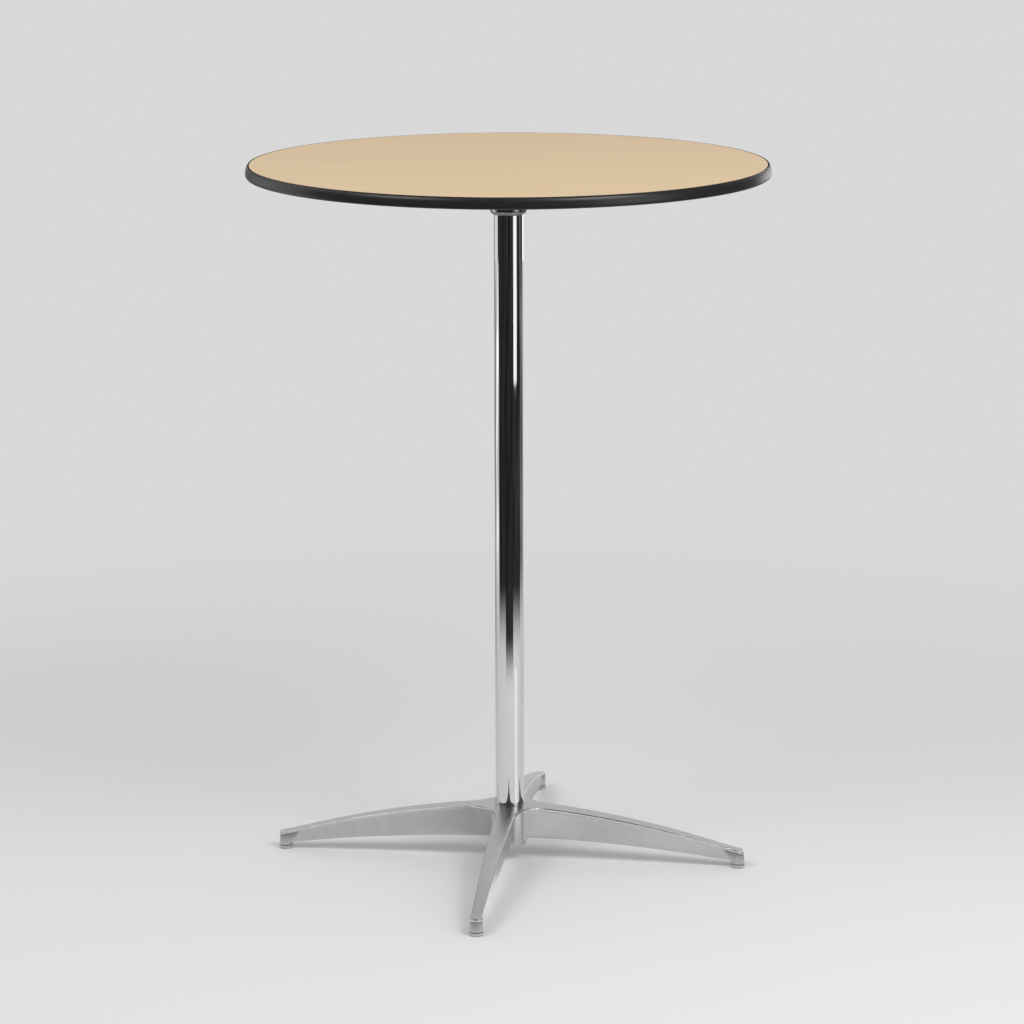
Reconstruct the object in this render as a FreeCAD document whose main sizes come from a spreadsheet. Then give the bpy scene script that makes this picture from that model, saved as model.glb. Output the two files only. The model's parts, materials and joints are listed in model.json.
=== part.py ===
# Bar-height cocktail table: round wood top with a black edge strip, chromed tube column and a cast base with
# four arched legs on levelling glides. Millimetres; the origin is on the floor under the column, Z is up and
# the legs lie along X and Y.
import FreeCAD
import Part
import math
import os
import re
import Sketcher

# Driving dimensions: each has a plain number and what it measures
SIZES = {
    "table_height": (1067, "floor to the face of the top"),
    "top_diameter": (762, "wood disc across"),
    "face_sheet": (0.8, "veneer sheet on the core"),
    "core_thickness": (14.9, "plywood core"),
    "back_sheet": (0.8, "backing sheet under the core"),
    "trim_gap": (0.1, "glue gap between the strip and the disc edge"),
    "trim_lip": (0.4, "flat lip of the strip beside the disc"),
    "trim_corner": (3, "rounding of the strip above and below"),
    "trim_crown": (60, "crown radius of the strip"),
    "tongue_thickness": (1.4, "tongue of the strip between its barbs"),
    "barb_height": (0.5, "barb beyond the tongue on each side"),
    "barb_pitch": (3.2, "one barb to the next"),
    "kerf_clearance": (0.1, "kerf beyond the barbs and beyond the tongue's end"),
    "tube_diameter": (43.6, "column across"),
    "tube_wall": (1.5, "column wall"),
    "socket_fit": (0.15, "radial play of the column in its sockets"),
    "plug_length": (25, "plug in each column end"),
    "plug_inset": (1, "plug face inside the column end"),
    "plug_fit": (0.05, "radial play of a plug in the column"),
    "thread_fit": (0.1, "radial play where a thread is stood for by a plain rod"),
    "arm_thickness": (5, "spider arm plate"),
    "arm_reach": (128, "axis to the end of a spider arm"),
    "arm_root": (15, "half width of an arm beside the bell"),
    "arm_end": (11, "half width of an arm at its end"),
    "arm_blend": (22, "rounding between two arms"),
    "rib_thickness": (5, "rib under an arm"),
    "rib_height": (15, "rib height beside the bell"),
    "rib_end_height": (2, "rib height at its outer end"),
    "rib_reach": (116, "axis to the outer end of a rib"),
    "bell_height": (59, "mouth of the bell to the underside of the top"),
    "bell_lip": (0.4, "flat lip at the mouth of the bell"),
    "bell_wall": (5.7, "bell wall above its rounded lower edge"),
    "bell_flare": (7.6, "rounding of the lower edge of the bell"),
    "bell_flare_height": (7.5, "height of that rounding"),
    "bell_top_radius": (34, "bell where it meets the arms"),
    "bell_socket": (43.5, "depth of the column in the bell"),
    "stud_diameter": (16, "stud thread across"),
    "stud_length": (34, "whole stud"),
    "stud_seat": (11, "stud held inside the spider"),
    "stud_chamfer": (1.2, "chamfer on the stud ends"),
    "screw_inner": (62, "axis to the inner screws"),
    "screw_end": (20, "outer screws before the end of an arm"),
    "screw_offset": (7, "screw beside the rib"),
    "screw_shank": (4.2, "wood screw across"),
    "screw_head": (8.6, "wood screw head across"),
    "screw_head_height": (3, "wood screw head"),
    "screw_bite": (12, "wood screw inside the top"),
    "screw_hole_play": (0.4, "radial play of a screw in its arm"),
    "pilot_play": (0.05, "radial play of a screw in the wood"),
    "crown_height": (87, "arched top of the legs beside the column"),
    "crown_end_height": (19.5, "arched top of the legs at the crown reach"),
    "crown_overrun": (20, "crown reach beyond the foot circle"),
    "crown_radius": (1450, "arch of the legs seen from the side"),
    "flange_thickness": (4.2, "leg flange"),
    "flange_root": (15.6, "half width of a flange beside the hub"),
    "flange_end": (8.1, "half width of a flange at the foot"),
    "flange_blend": (47, "rounding between two flanges"),
    "bulb_radius": (8.9, "rounded flange end over the foot boss"),
    "neck_blend": (20, "flange side into its rounded end"),
    "flange_edge": (1.3, "rounding of the flange edge"),
    "web_root": (8.7, "half width of a leg web beside the hub"),
    "web_end": (5.9, "half width of a leg web at the foot"),
    "web_neck_blend": (14, "web side into the foot boss"),
    "web_bulb_inset": (0.4, "rounded web end inside the foot boss"),
    "web_blend": (26, "rounding between two webs"),
    "web_root_height": (35, "lower edge of a web beside the hub"),
    "web_end_height": (9, "lower edge of a web at the foot circle"),
    "web_arch": (2375, "arch of the lower edge"),
    "web_hub_fillet": (11.5, "lower edge into the hub"),
    "channel_width": (6.4, "hollow under a leg"),
    "channel_inset": (9, "hollow begins beyond the hub and ends before the boss"),
    "hub_radius": (25, "hub of the base"),
    "hub_bottom": (23, "hub above the floor"),
    "hub_floor": (10, "thickness of the hub floor"),
    "socket_floor": (50, "column end above the floor"),
    "socket_chamfer": (1, "chamfer at the mouth of the socket"),
    "recess_radius": (15.5, "bolt recess under the hub"),
    "bolt_hole_play": (0.5, "radial play of the bolt in the hub floor"),
    "bolt_diameter": (12, "base bolt across"),
    "bolt_length": (42, "base bolt under its head"),
    "bolt_head": (19, "bolt head across flats"),
    "bolt_head_height": (7.5, "bolt head"),
    "bolt_chamfer": (1.2, "chamfer on the bolt"),
    "washer_diameter": (26, "flat washer across"),
    "washer_thickness": (2.5, "flat washer"),
    "spring_diameter": (21, "split washer across"),
    "spring_thickness": (3, "split washer"),
    "spring_slit": (1.6, "slit of the split washer"),
    "washer_play": (0.4, "radial play of the washers on the bolt"),
    "foot_circle": (349.5, "axis to a glide"),
    "boss_radius": (10, "foot boss"),
    "boss_height": (19.8, "foot boss, to its flat top"),
    "glide_thread": (8, "glide stem across"),
    "glide_thread_fit": (0.05, "radial play of the stem in the boss"),
    "glide_bore": (15, "tapped depth in the boss"),
    "stem_length": (13.5, "stem above its collar"),
    "stem_chamfer": (0.8, "chamfer on the stem"),
    "collar_flats": (11, "hex collar of the stem across flats"),
    "collar_thickness": (1.2, "hex collar of the stem"),
    "neck_radius": (3, "stem neck inside the pad"),
    "knob_radius": (4.6, "stem knob held by the pad"),
    "knob_height": (1.4, "stem knob"),
    "swivel_fit": (0.1, "play between the pad and the stem"),
    "pad_radius": (10.5, "glide pad"),
    "pad_height": (4.6, "glide pad"),
    "pad_floor": (1.4, "pad under the knob"),
    "pad_lower_edge": (1.6, "rounding at the floor"),
    "pad_upper_edge": (1, "rounding above"),
    "pad_gap": (0.2, "gap between the pad and the collar"),
}

# Sizes that follow from the driving ones
DERIVED = {
    "top_radius": "top_diameter / 2",
    "core_top": "table_height - face_sheet",
    "core_bottom": "core_top - core_thickness",
    "underside": "core_bottom - back_sheet",
    "core_middle": "core_bottom + core_thickness / 2",
    "trim_back": "top_radius + trim_gap",
    "trim_front": "trim_back + trim_lip + trim_corner",
    "tongue_depth": "barb_pitch * 3.3",
    "tongue_half": "tongue_thickness / 2",
    "kerf_half": "tongue_half + barb_height + kerf_clearance",
    "kerf_depth": "tongue_depth - trim_gap + kerf_clearance",
    "tube_radius": "tube_diameter / 2",
    "tube_bore": "tube_radius - tube_wall",
    "socket_radius": "tube_radius + socket_fit",
    "plug_radius": "tube_bore - plug_fit",
    "bell_mouth": "underside - bell_height",
    "column_top": "bell_mouth + bell_socket",
    "stud_radius": "stud_diameter / 2",
    "stud_top": "column_top + stud_seat",
    "arm_bottom": "underside - arm_thickness",
    "screw_outer": "arm_reach - screw_end",
    "screw_radius": "screw_shank / 2",
    "pilot_radius": "screw_radius + pilot_play",
    "crown_reach": "foot_circle + crown_overrun",
    "blank_height": "crown_height + flange_thickness",
    "neck_start": "foot_circle - sqrt((bulb_radius + neck_blend) ^ 2 - (flange_end + neck_blend) ^ 2)",
    "web_bulb_radius": "boss_radius - web_bulb_inset",
    "web_neck_start": "foot_circle - sqrt((web_bulb_radius + web_neck_blend) ^ 2 - (web_end + web_neck_blend) ^ 2)",
    "web_bulb_share": "web_bulb_radius / (web_bulb_radius + web_neck_blend)",
    "bulb_share": "bulb_radius / (bulb_radius + neck_blend)",
    "recess_top": "socket_floor - hub_floor",
    "bolt_radius": "bolt_diameter / 2",
    "bolt_seat": "recess_top - washer_thickness - spring_thickness",
    "washer_hole": "bolt_radius + washer_play",
    "collar_bottom": "pad_height + pad_gap",
    "boss_bottom": "collar_bottom + collar_thickness",
    "stem_radius": "glide_thread / 2",
    "knob_bottom": "pad_floor + swivel_fit",
    "knob_top": "knob_bottom + knob_height",
    "cavity_top": "knob_top + swivel_fit",
}

doc = FreeCAD.newDocument("CocktailTable")
sheet = doc.addObject("Spreadsheet::Sheet", "Sizes")
for row, (alias, (value, meaning)) in enumerate(SIZES.items(), start=1):
    sheet.set(f"A{row}", meaning)
    sheet.set(f"B{row}", str(value))
    sheet.setAlias(f"B{row}", alias)
doc.recompute()


def formula(text):
    """The text with each size's name written as the sheet's cell, or as the formula that it follows from."""
    def cell(found):
        word = found.group()
        if word in DERIVED:
            return "(" + formula(DERIVED[word]) + ")"
        return "Sizes." + word if word in SIZES else word
    return re.sub(r"[a-z_]+", cell, text)


def number(text):
    """The value of a formula now."""
    return float(sheet.evalExpression(formula(text)))


def bind(item, name, text):
    """Hold one property of an object to a formula of the sheet."""
    item.setExpression(name, formula(text))


def new_body(label):
    body = doc.addObject("PartDesign::Body", label)
    body.Label = label
    return body


def datum(body, role):
    """One of the body's own origin planes or axes."""
    return next(item for item in body.Origin.OriginFeatures if item.Role == role)


def new_sketch(body, name, plane, lift="0"):
    """An empty sketch on an origin plane, lifted off it along its normal."""
    sketch = body.newObject("Sketcher::SketchObject", name)
    sketch.AttachmentSupport = [(datum(body, plane), "")]
    sketch.MapMode = "FlatFace"
    bind(sketch, "AttachmentOffset.Base.z", lift)
    return sketch


def hold(sketch, kind, places, text):
    """Add one dimension to a sketch and hold it to a formula."""
    index = sketch.addConstraint(Sketcher.Constraint(kind, *places, number(text)))
    sketch.renameConstraint(index, f"{kind}{index}")
    bind(sketch, f"Constraints.{kind}{index}", text)


def arc_between(start, finish, radius, side):
    """The short arc from start to finish; side is 1 with its centre on the left of the way, -1 on the right."""
    chord = finish - start
    across = FreeCAD.Vector(-chord.y, chord.x, 0).normalize()
    rise = max(radius ** 2 - (chord.Length / 2) ** 2, 0) ** 0.5
    centre = (start + finish) * 0.5 + across * (side * rise)
    first, last = (start, finish) if side > 0 else (finish, start)
    angles = [math.atan2(end.y - centre.y, end.x - centre.x) for end in (first, last)]
    return Part.ArcOfCircle(Part.Circle(centre, FreeCAD.Vector(0, 0, 1), radius), *angles)


def add_loop(sketch, corners, arcs=None):
    """A closed line through the corners, each a pair of formulas; arcs gives (radius, side) for edges that bend."""
    arcs = arcs or {}
    points = [FreeCAD.Vector(number(across), number(up), 0) for across, up in corners]
    joints = []
    for step, start in enumerate(points):
        finish = points[(step + 1) % len(points)]
        if step in arcs:
            radius, side = arcs[step]
            edge = sketch.addGeometry(arc_between(start, finish, number(radius), side), False)
            hold(sketch, "Radius", (edge,), radius)
            joints.append((edge, 1, 2) if side > 0 else (edge, 2, 1))
        else:
            edge = sketch.addGeometry(Part.LineSegment(start, finish), False)
            joints.append((edge, 1, 2))
    for step, (across, up) in enumerate(corners):
        edge, first, _ = joints[step]
        before, _, last = joints[step - 1]
        sketch.addConstraint(Sketcher.Constraint("Coincident", before, last, edge, first))
        hold(sketch, "DistanceX", (-1, 1, edge, first), across)
        hold(sketch, "DistanceY", (-1, 1, edge, first), up)


def add_circle(sketch, across, up, radius):
    centre = FreeCAD.Vector(number(across), number(up), 0)
    ring = sketch.addGeometry(Part.Circle(centre, FreeCAD.Vector(0, 0, 1), number(radius)), False)
    hold(sketch, "DistanceX", (-1, 1, ring, 3), across)
    hold(sketch, "DistanceY", (-1, 1, ring, 3), up)
    hold(sketch, "Radius", (ring,), radius)


def turned(body, name, corners, arcs=None, kind="Revolution", axis=None):
    """Turn a profile (radius, height) around Z, or around an upright line at the given distance along X."""
    sketch = new_sketch(body, name + "_profile", "XZ_Plane")
    add_loop(sketch, corners, arcs)
    line = "V_Axis"
    if not axis:
        # the seam of the turned face lies between the legs
        sketch.AttachmentOffset = FreeCAD.Placement(FreeCAD.Vector(), FreeCAD.Vector(0, 1, 0), 45)
    else:
        foot = FreeCAD.Vector(number(axis), 0, 0)
        edge = sketch.addGeometry(Part.LineSegment(foot, foot + FreeCAD.Vector(0, 10, 0)), True)
        hold(sketch, "DistanceX", (-1, 1, edge, 1), axis)
        sketch.addConstraint(Sketcher.Constraint("PointOnObject", edge, 1, -1))
        sketch.addConstraint(Sketcher.Constraint("Vertical", edge))
        hold(sketch, "DistanceY", (edge, 1, edge, 2), "10")
        line = "Axis0"
    feature = body.newObject("PartDesign::" + kind, name)
    feature.Profile = sketch
    feature.ReferenceAxis = (sketch, [line])
    feature.Angle = 360
    doc.recompute()
    return feature


def raised(body, name, sketch, length, kind="Pad", both_ways=False, back=False):
    """Pad or pocket a sketch by a formula's length."""
    feature = body.newObject("PartDesign::" + kind, name)
    feature.Profile = sketch
    bind(feature, "Length", length)
    feature.SideType = "Symmetric" if both_ways else "One side"
    feature.Reversed = back
    doc.recompute()
    return feature


def around(body, name, feature, count=4):
    """Repeat a feature evenly around Z."""
    pattern = body.newObject("PartDesign::PolarPattern", name)
    pattern.Originals = [feature]
    pattern.Axis = (datum(body, "Z_Axis"), [""])
    pattern.Angle = 360
    pattern.Occurrences = count
    body.Tip = pattern
    doc.recompute()
    return pattern


def outer_edges(body, face):
    """Names of the edges round the outside of a face of the body's latest feature."""
    outside = face.OuterWire.Edges
    return [f"Edge{place}" for place, edge in enumerate(body.Tip.Shape.Edges, 1)
            if any(edge.isSame(other) for other in outside)]


def rounded(body, name, edges, radius):
    """Round the named edges of the body's latest feature."""
    before = body.Tip
    fillet = body.newObject("PartDesign::Fillet", name)
    fillet.Base = (before, edges)
    bind(fillet, "Radius", radius)
    body.Tip = fillet
    doc.recompute()
    return fillet


def quarter_turns(corner):
    """A corner and its three copies a quarter turn apart, as formulas."""
    across, up = corner
    return [(across, up), (f"-({up})", across), (f"-({across})", f"-({up})"), (up, f"-({across})")]


def four_arms(root, blend, half, bends=None):
    """Outline of four equal arms: half gives one arm's side from its root out to its end, as (reach, half width).

    A rounding joins each arm to the next. The side's edges are numbered from that rounding, and bends gives
    (radius, side) for those that are arcs; the arm's other side mirrors them.
    """
    diagonal = f"{root} + {blend} * (1 - sqrt(2) / 2)"
    side = [(f"{root} + {blend}", root)] + half
    lower = [(diagonal, f"-({diagonal})")] + [(reach, f"-({wide})") for reach, wide in side]
    corners = lower + [(reach, wide) for reach, wide in side[::-1] if wide != "0"]
    arcs = {0: (blend, -1), **(bends or {})}
    arcs.update({len(corners) - 1 - step: bend for step, bend in arcs.items()})
    whole = [quarter_turns(corner)[turn] for turn in range(4) for corner in corners]
    return whole, {turn * len(corners) + step: bend for turn in range(4) for step, bend in arcs.items()}


def screw_places():
    """The eight wood screws: on each arm one on either side of the rib."""
    return quarter_turns(("screw_inner", "screw_offset")) + quarter_turns(("screw_outer", "-screw_offset"))


def pilot_holes(body, lift, depth, radius):
    """Holes for the wood screws, cut upwards from a height."""
    sketch = new_sketch(body, "pilots", "XY_Plane", lift)
    for across, up in screw_places():
        add_circle(sketch, across, up, radius)
    raised(body, "pilot_holes", sketch, depth, kind="Pocket", back=True)


def top_core():
    """Plywood disc, its edge sawn with the kerf for the strip's tongue."""
    body = new_body("top_core")
    turned(body, "disc", [
        ("0", "core_bottom"),
        ("top_radius", "core_bottom"),
        ("top_radius", "core_middle - kerf_half"),
        ("top_radius - kerf_depth", "core_middle - kerf_half"),
        ("top_radius - kerf_depth", "core_middle + kerf_half"),
        ("top_radius", "core_middle + kerf_half"),
        ("top_radius", "core_top"),
        ("0", "core_top"),
    ])
    pilot_holes(body, "core_bottom", "screw_bite - back_sheet", "pilot_radius")


def top_sheets():
    """Veneer sheet above the core and backing sheet below it, drilled for the screws."""
    face = doc.addObject("Part::Cylinder", "top_face")
    bind(face, "Radius", "top_radius")
    bind(face, "Height", "face_sheet")
    bind(face, "Placement.Base.z", "core_top")
    backer = new_body("top_backer")
    sketch = new_sketch(backer, "sheet", "XY_Plane", "underside")
    add_circle(sketch, "0", "0", "top_radius")
    raised(backer, "disc", sketch, "back_sheet")
    pilot_holes(backer, "underside", "back_sheet", "pilot_radius")


def edge_trim():
    """T-strip: a crowned band flush with both faces, and a tongue with three barbs on each side."""
    body = new_body("edge_trim")
    below = []
    for barb in range(3):
        root = f"trim_back - barb_pitch * {barb + 0.3}"
        below.append((root, "core_middle - tongue_half"))
        below.append((root, "core_middle - tongue_half - barb_height"))
    below[0:0] = [("trim_back", "core_middle - tongue_half")]
    end = ("trim_back - tongue_depth", "core_middle - tongue_half")
    mirrored = [(across, up.replace("-", "+")) for across, up in [end] + below[::-1]]
    band = [
        ("trim_back", "table_height"),
        ("trim_back + trim_lip", "table_height"),
        ("trim_front", "table_height - trim_corner"),
        ("trim_front", "underside + trim_corner"),
        ("trim_back + trim_lip", "underside"),
        ("trim_back", "underside"),
    ]
    turned(body, "strip", below + [end] + mirrored + band, {
        len(below) + 1 + len(mirrored) + 1: ("trim_corner", -1),
        len(below) + 1 + len(mirrored) + 2: ("trim_crown", -1),
        len(below) + 1 + len(mirrored) + 3: ("trim_corner", -1),
    })


def top_spider():
    """Cast bell with a socket for the column, and four ribbed arms under the top."""
    body = new_body("top_spider")
    turned(body, "bell", [
        ("0", "bell_mouth"),
        ("socket_radius + bell_lip", "bell_mouth"),
        ("socket_radius + bell_wall", "bell_mouth + bell_flare_height"),
        ("bell_top_radius", "arm_bottom"),
        ("bell_top_radius", "underside"),
        ("0", "underside"),
    ], {1: ("bell_flare", 1)})
    plan = new_sketch(body, "arm_plan", "XY_Plane", "arm_bottom")
    add_loop(plan, *four_arms("arm_root", "arm_blend", [
        ("arm_reach - arm_end", "arm_end"),
        ("arm_reach", "0"),
    ], {2: ("arm_end", 1)}))
    raised(body, "arms", plan, "arm_thickness")
    side = new_sketch(body, "rib_side", "XZ_Plane")
    add_loop(side, [
        ("socket_radius", "arm_bottom - rib_height"),
        ("bell_top_radius", "arm_bottom - rib_height"),
        ("rib_reach", "arm_bottom - rib_end_height"),
        ("rib_reach", "arm_bottom"),
        ("socket_radius", "arm_bottom"),
    ])
    around(body, "ribs", raised(body, "rib", side, "rib_thickness", both_ways=True))
    turned(body, "socket", [
        ("0", "bell_mouth - 1"),
        ("socket_radius", "bell_mouth - 1"),
        ("socket_radius", "column_top"),
        ("stud_radius + thread_fit", "column_top"),
        ("stud_radius + thread_fit", "stud_top"),
        ("0", "stud_top"),
    ], kind="Groove")
    holes = new_sketch(body, "screw_plan", "XY_Plane", "arm_bottom")
    for across, up in screw_places():
        add_circle(holes, across, up, "screw_radius + screw_hole_play")
    raised(body, "screw_holes", holes, "arm_thickness", kind="Pocket", back=True)


def spider_screws():
    """Pan-head wood screws with pointed ends, all in one group of separate solids."""
    head, shank = number("screw_head / 2"), number("screw_radius")
    seat, tall, bite = number("arm_bottom"), number("screw_head_height"), number("arm_thickness + screw_bite")
    profile = Part.makePolygon([FreeCAD.Vector(across, 0, up) for across, up in (
        (0, seat - tall), (head * 0.6, seat - tall), (head, seat - tall * 0.45), (head, seat), (shank, seat),
        (shank, seat + bite - 2 * shank), (0.3, seat + bite - 0.4), (0, seat + bite - 0.4), (0, seat - tall),
    )])
    one = Part.Face(profile).revolve(FreeCAD.Vector(0, 0, 0), FreeCAD.Vector(0, 0, 1), 360)
    group = doc.addObject("Part::Feature", "spider_screws")
    places = [FreeCAD.Vector(number(across), number(up), 0) for across, up in screw_places()]
    group.Shape = Part.makeCompound([one.translated(place) for place in places])


def rod(label, bottom, top, radius, chamfer):
    """A plain round rod with chamfered ends."""
    body = new_body(label)
    turned(body, "rod", [
        ("0", bottom),
        (f"{radius} - {chamfer}", bottom),
        (radius, f"{bottom} + {chamfer}"),
        (radius, f"{top} - {chamfer}"),
        (f"{radius} - {chamfer}", top),
        ("0", top),
    ])
    return body


def hexagon(body, name, bottom, flats, height):
    """A hexagonal prism around Z."""
    plan = new_sketch(body, name + "_plan", "XY_Plane", bottom)
    reach = f"{flats} / sqrt(3)"
    add_loop(plan, [(f"{reach} * cos({60 * step})", f"{reach} * sin({60 * step})") for step in range(6)])
    raised(body, name, plan, height)


def column():
    """Tube between the two sockets, and a tapped plug in each end of it."""
    tube = new_body("column_tube")
    plan = new_sketch(tube, "ring", "XY_Plane", "socket_floor")
    add_circle(plan, "0", "0", "tube_radius")
    add_circle(plan, "0", "0", "tube_bore")
    raised(tube, "wall", plan, "column_top - socket_floor")
    plugs = (
        ("column_top_plug", "column_top - plug_inset - plug_length", "stud_radius"),
        ("column_bottom_plug", "socket_floor + plug_inset", "bolt_radius"),
    )
    for label, bottom, thread in plugs:
        plug = new_body(label)
        ends = new_sketch(plug, "ring", "XY_Plane", bottom)
        add_circle(ends, "0", "0", "plug_radius")
        add_circle(ends, "0", "0", f"{thread} + thread_fit")
        raised(plug, "plug", ends, "plug_length")


def base_casting():
    """Cast base in one piece: arched flanges on webs, hub with its socket, foot bosses and the hollows below."""
    body = new_body("base_casting")
    flange = new_sketch(body, "flange_plan", "XY_Plane")
    add_loop(flange, *four_arms("flange_root", "flange_blend", [
        ("neck_start", "flange_end"),
        ("foot_circle - (foot_circle - neck_start) * bulb_share", "(flange_end + neck_blend) * bulb_share"),
        ("foot_circle + bulb_radius", "0"),
    ], {2: ("neck_blend", -1), 3: ("bulb_radius", 1)}))
    raised(body, "flanges", flange, "blank_height")
    turned(body, "flange_underside", [
        ("0", "-1"),
        ("crown_reach", "-1"),
        ("crown_reach", "crown_end_height - flange_thickness"),
        ("tube_radius", "crown_height - flange_thickness"),
        ("0", "crown_height - flange_thickness"),
    ], {2: ("crown_radius", 1)}, kind="Groove")
    web = new_sketch(body, "web_plan", "XY_Plane")
    add_loop(web, *four_arms("web_root", "web_blend", [
        ("web_neck_start", "web_end"),
        ("foot_circle - (foot_circle - web_neck_start) * web_bulb_share",
         "(web_end + web_neck_blend) * web_bulb_share"),
        ("foot_circle + web_bulb_radius", "0"),
    ], {2: ("web_neck_blend", -1), 3: ("web_bulb_radius", 1)}))
    raised(body, "webs", web, "blank_height")
    turned(body, "web_underside", [
        ("0", "-1"),
        ("foot_circle + boss_radius", "-1"),
        ("foot_circle + boss_radius", "web_end_height"),
        ("foot_circle", "web_end_height"),
        ("hub_radius + web_hub_fillet", "web_root_height"),
        ("hub_radius", "web_root_height - web_hub_fillet"),
        ("0", "web_root_height - web_hub_fillet"),
    ], {3: ("web_arch", 1), 4: ("web_hub_fillet", 1)}, kind="Groove")
    turned(body, "hub", [
        ("0", "hub_bottom"),
        ("hub_radius - socket_chamfer", "hub_bottom"),
        ("hub_radius", "hub_bottom + socket_chamfer"),
        ("hub_radius", "blank_height"),
        ("0", "blank_height"),
    ])
    turned(body, "crown", [
        ("0", "crown_height"),
        ("tube_radius", "crown_height"),
        ("crown_reach", "crown_end_height"),
        ("crown_reach", "blank_height + 1"),
        ("0", "blank_height + 1"),
    ], {1: ("crown_radius", -1)}, kind="Groove")
    arched = [face for face in body.Tip.Shape.Faces if isinstance(face.Surface, Part.SurfaceOfRevolution)]
    crown_face = max(arched, key=lambda face: face.BoundBox.ZMax)
    rounded(body, "flange_rim", outer_edges(body, crown_face), "flange_edge")
    feet = new_sketch(body, "boss_plan", "XY_Plane", "boss_bottom")
    for across, up in quarter_turns(("foot_circle", "0")):
        add_circle(feet, across, up, "boss_radius")
    raised(body, "bosses", feet, "boss_height")
    side = new_sketch(body, "channel_side", "XZ_Plane")
    add_loop(side, [
        ("hub_radius + channel_inset", "1"),
        ("foot_circle - boss_radius - channel_inset", "1"),
        ("foot_circle - boss_radius - channel_inset", "web_end_height + web_root"),
        ("hub_radius + channel_inset", "crown_height - flange_thickness - web_root"),
    ], {2: ("crown_radius", 1)})
    around(body, "channels", raised(body, "channel", side, "channel_width", kind="Pocket", both_ways=True))
    turned(body, "socket", [
        ("0", "hub_bottom - 1"),
        ("recess_radius", "hub_bottom - 1"),
        ("recess_radius", "recess_top"),
        ("bolt_radius + bolt_hole_play", "recess_top"),
        ("bolt_radius + bolt_hole_play", "socket_floor"),
        ("socket_radius", "socket_floor"),
        ("socket_radius", "crown_height - socket_chamfer"),
        ("socket_radius + socket_chamfer", "crown_height"),
        ("socket_radius + socket_chamfer", "blank_height + 1"),
        ("0", "blank_height + 1"),
    ], kind="Groove")
    bores = new_sketch(body, "glide_bores", "XY_Plane", "boss_bottom")
    for across, up in quarter_turns(("foot_circle", "0")):
        add_circle(bores, across, up, "stem_radius + glide_thread_fit")
    raised(body, "glide_holes", bores, "glide_bore", kind="Pocket", back=True)


def base_bolt():
    """Hex bolt: a chamfered head below the washers and a plain shank."""
    body = new_body("base_bolt")
    reach = "bolt_head / sqrt(3)"
    hexagon(body, "head", "bolt_seat - bolt_head_height", "bolt_head", "bolt_head_height")
    turned(body, "head_chamfer", [
        (f"{reach}", "bolt_seat - bolt_head_height - 1"),
        (f"{reach} + 1", "bolt_seat - bolt_head_height - 1"),
        (f"{reach} + 1", "bolt_seat - bolt_head_height + bolt_chamfer"),
        (f"{reach}", "bolt_seat - bolt_head_height + bolt_chamfer"),
        ("bolt_head / 2 - 0.2", "bolt_seat - bolt_head_height"),
        ("bolt_head / 2 - 0.2", "bolt_seat - bolt_head_height - 1"),
    ], kind="Groove")
    turned(body, "shank", [
        ("0", "bolt_seat - bolt_head_height / 2"),
        ("bolt_radius", "bolt_seat - bolt_head_height / 2"),
        ("bolt_radius", "bolt_seat + bolt_length - bolt_chamfer"),
        ("bolt_radius - bolt_chamfer", "bolt_seat + bolt_length"),
        ("0", "bolt_seat + bolt_length"),
    ])


def base_washers():
    """Flat washer against the hub floor and a split washer under it."""
    washers = (
        ("flat_washer", "recess_top - washer_thickness", "washer_diameter / 2", "washer_thickness"),
        ("spring_washer", "bolt_seat", "spring_diameter / 2", "spring_thickness"),
    )
    for label, bottom, radius, thickness in washers:
        body = new_body(label)
        plan = new_sketch(body, "ring", "XY_Plane", bottom)
        add_circle(plan, "0", "0", radius)
        add_circle(plan, "0", "0", "washer_hole")
        raised(body, "ring_pad", plan, thickness)
    slit = new_sketch(body, "slit", "XY_Plane", "bolt_seat")
    half = "spring_slit / 2"
    add_loop(slit, [("0", f"-{half}"), ("spring_diameter", f"-{half}"), ("spring_diameter", half), ("0", half)])
    raised(body, "slit_cut", slit, "spring_thickness", kind="Pocket", back=True)


def glide(name, across, up):
    """One levelling glide: a pad with a snap socket, and the threaded stem whose knob sits in it."""
    pad = new_body("glide_pad_" + name)
    turned(pad, "disc", [
        ("0", "0"),
        ("pad_radius - pad_lower_edge", "0"),
        ("pad_radius", "pad_lower_edge"),
        ("pad_radius", "pad_height - pad_upper_edge"),
        ("pad_radius - pad_upper_edge", "pad_height"),
        ("neck_radius + swivel_fit", "pad_height"),
        ("neck_radius + swivel_fit", "cavity_top"),
        ("knob_radius + swivel_fit", "cavity_top"),
        ("knob_radius + swivel_fit", "pad_floor"),
        ("0", "pad_floor"),
    ], {1: ("pad_lower_edge", 1), 3: ("pad_upper_edge", 1)})
    stem = new_body("glide_stem_" + name)
    turned(stem, "stem", [
        ("0", "knob_bottom"),
        ("knob_radius", "knob_bottom"),
        ("knob_radius", "knob_top"),
        ("neck_radius", "knob_top"),
        ("neck_radius", "collar_bottom"),
        ("stem_radius", "collar_bottom"),
        ("stem_radius", "boss_bottom + stem_length - stem_chamfer"),
        ("stem_radius - stem_chamfer", "boss_bottom + stem_length"),
        ("0", "boss_bottom + stem_length"),
    ])
    hexagon(stem, "collar", "collar_bottom", "collar_flats", "collar_thickness")
    for body in (pad, stem):
        bind(body, "Placement.Base.x", across)
        bind(body, "Placement.Base.y", up)


top_core()
top_sheets()
edge_trim()
top_spider()
spider_screws()
rod("spider_stud", "stud_top - stud_length", "stud_top", "stud_radius", "stud_chamfer")
column()
base_casting()
base_bolt()
base_washers()
for name, (across, up) in zip(("right", "back", "left", "front"), quarter_turns(("foot_circle", "0"))):
    glide(name, across, up)
doc.recompute()

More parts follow.
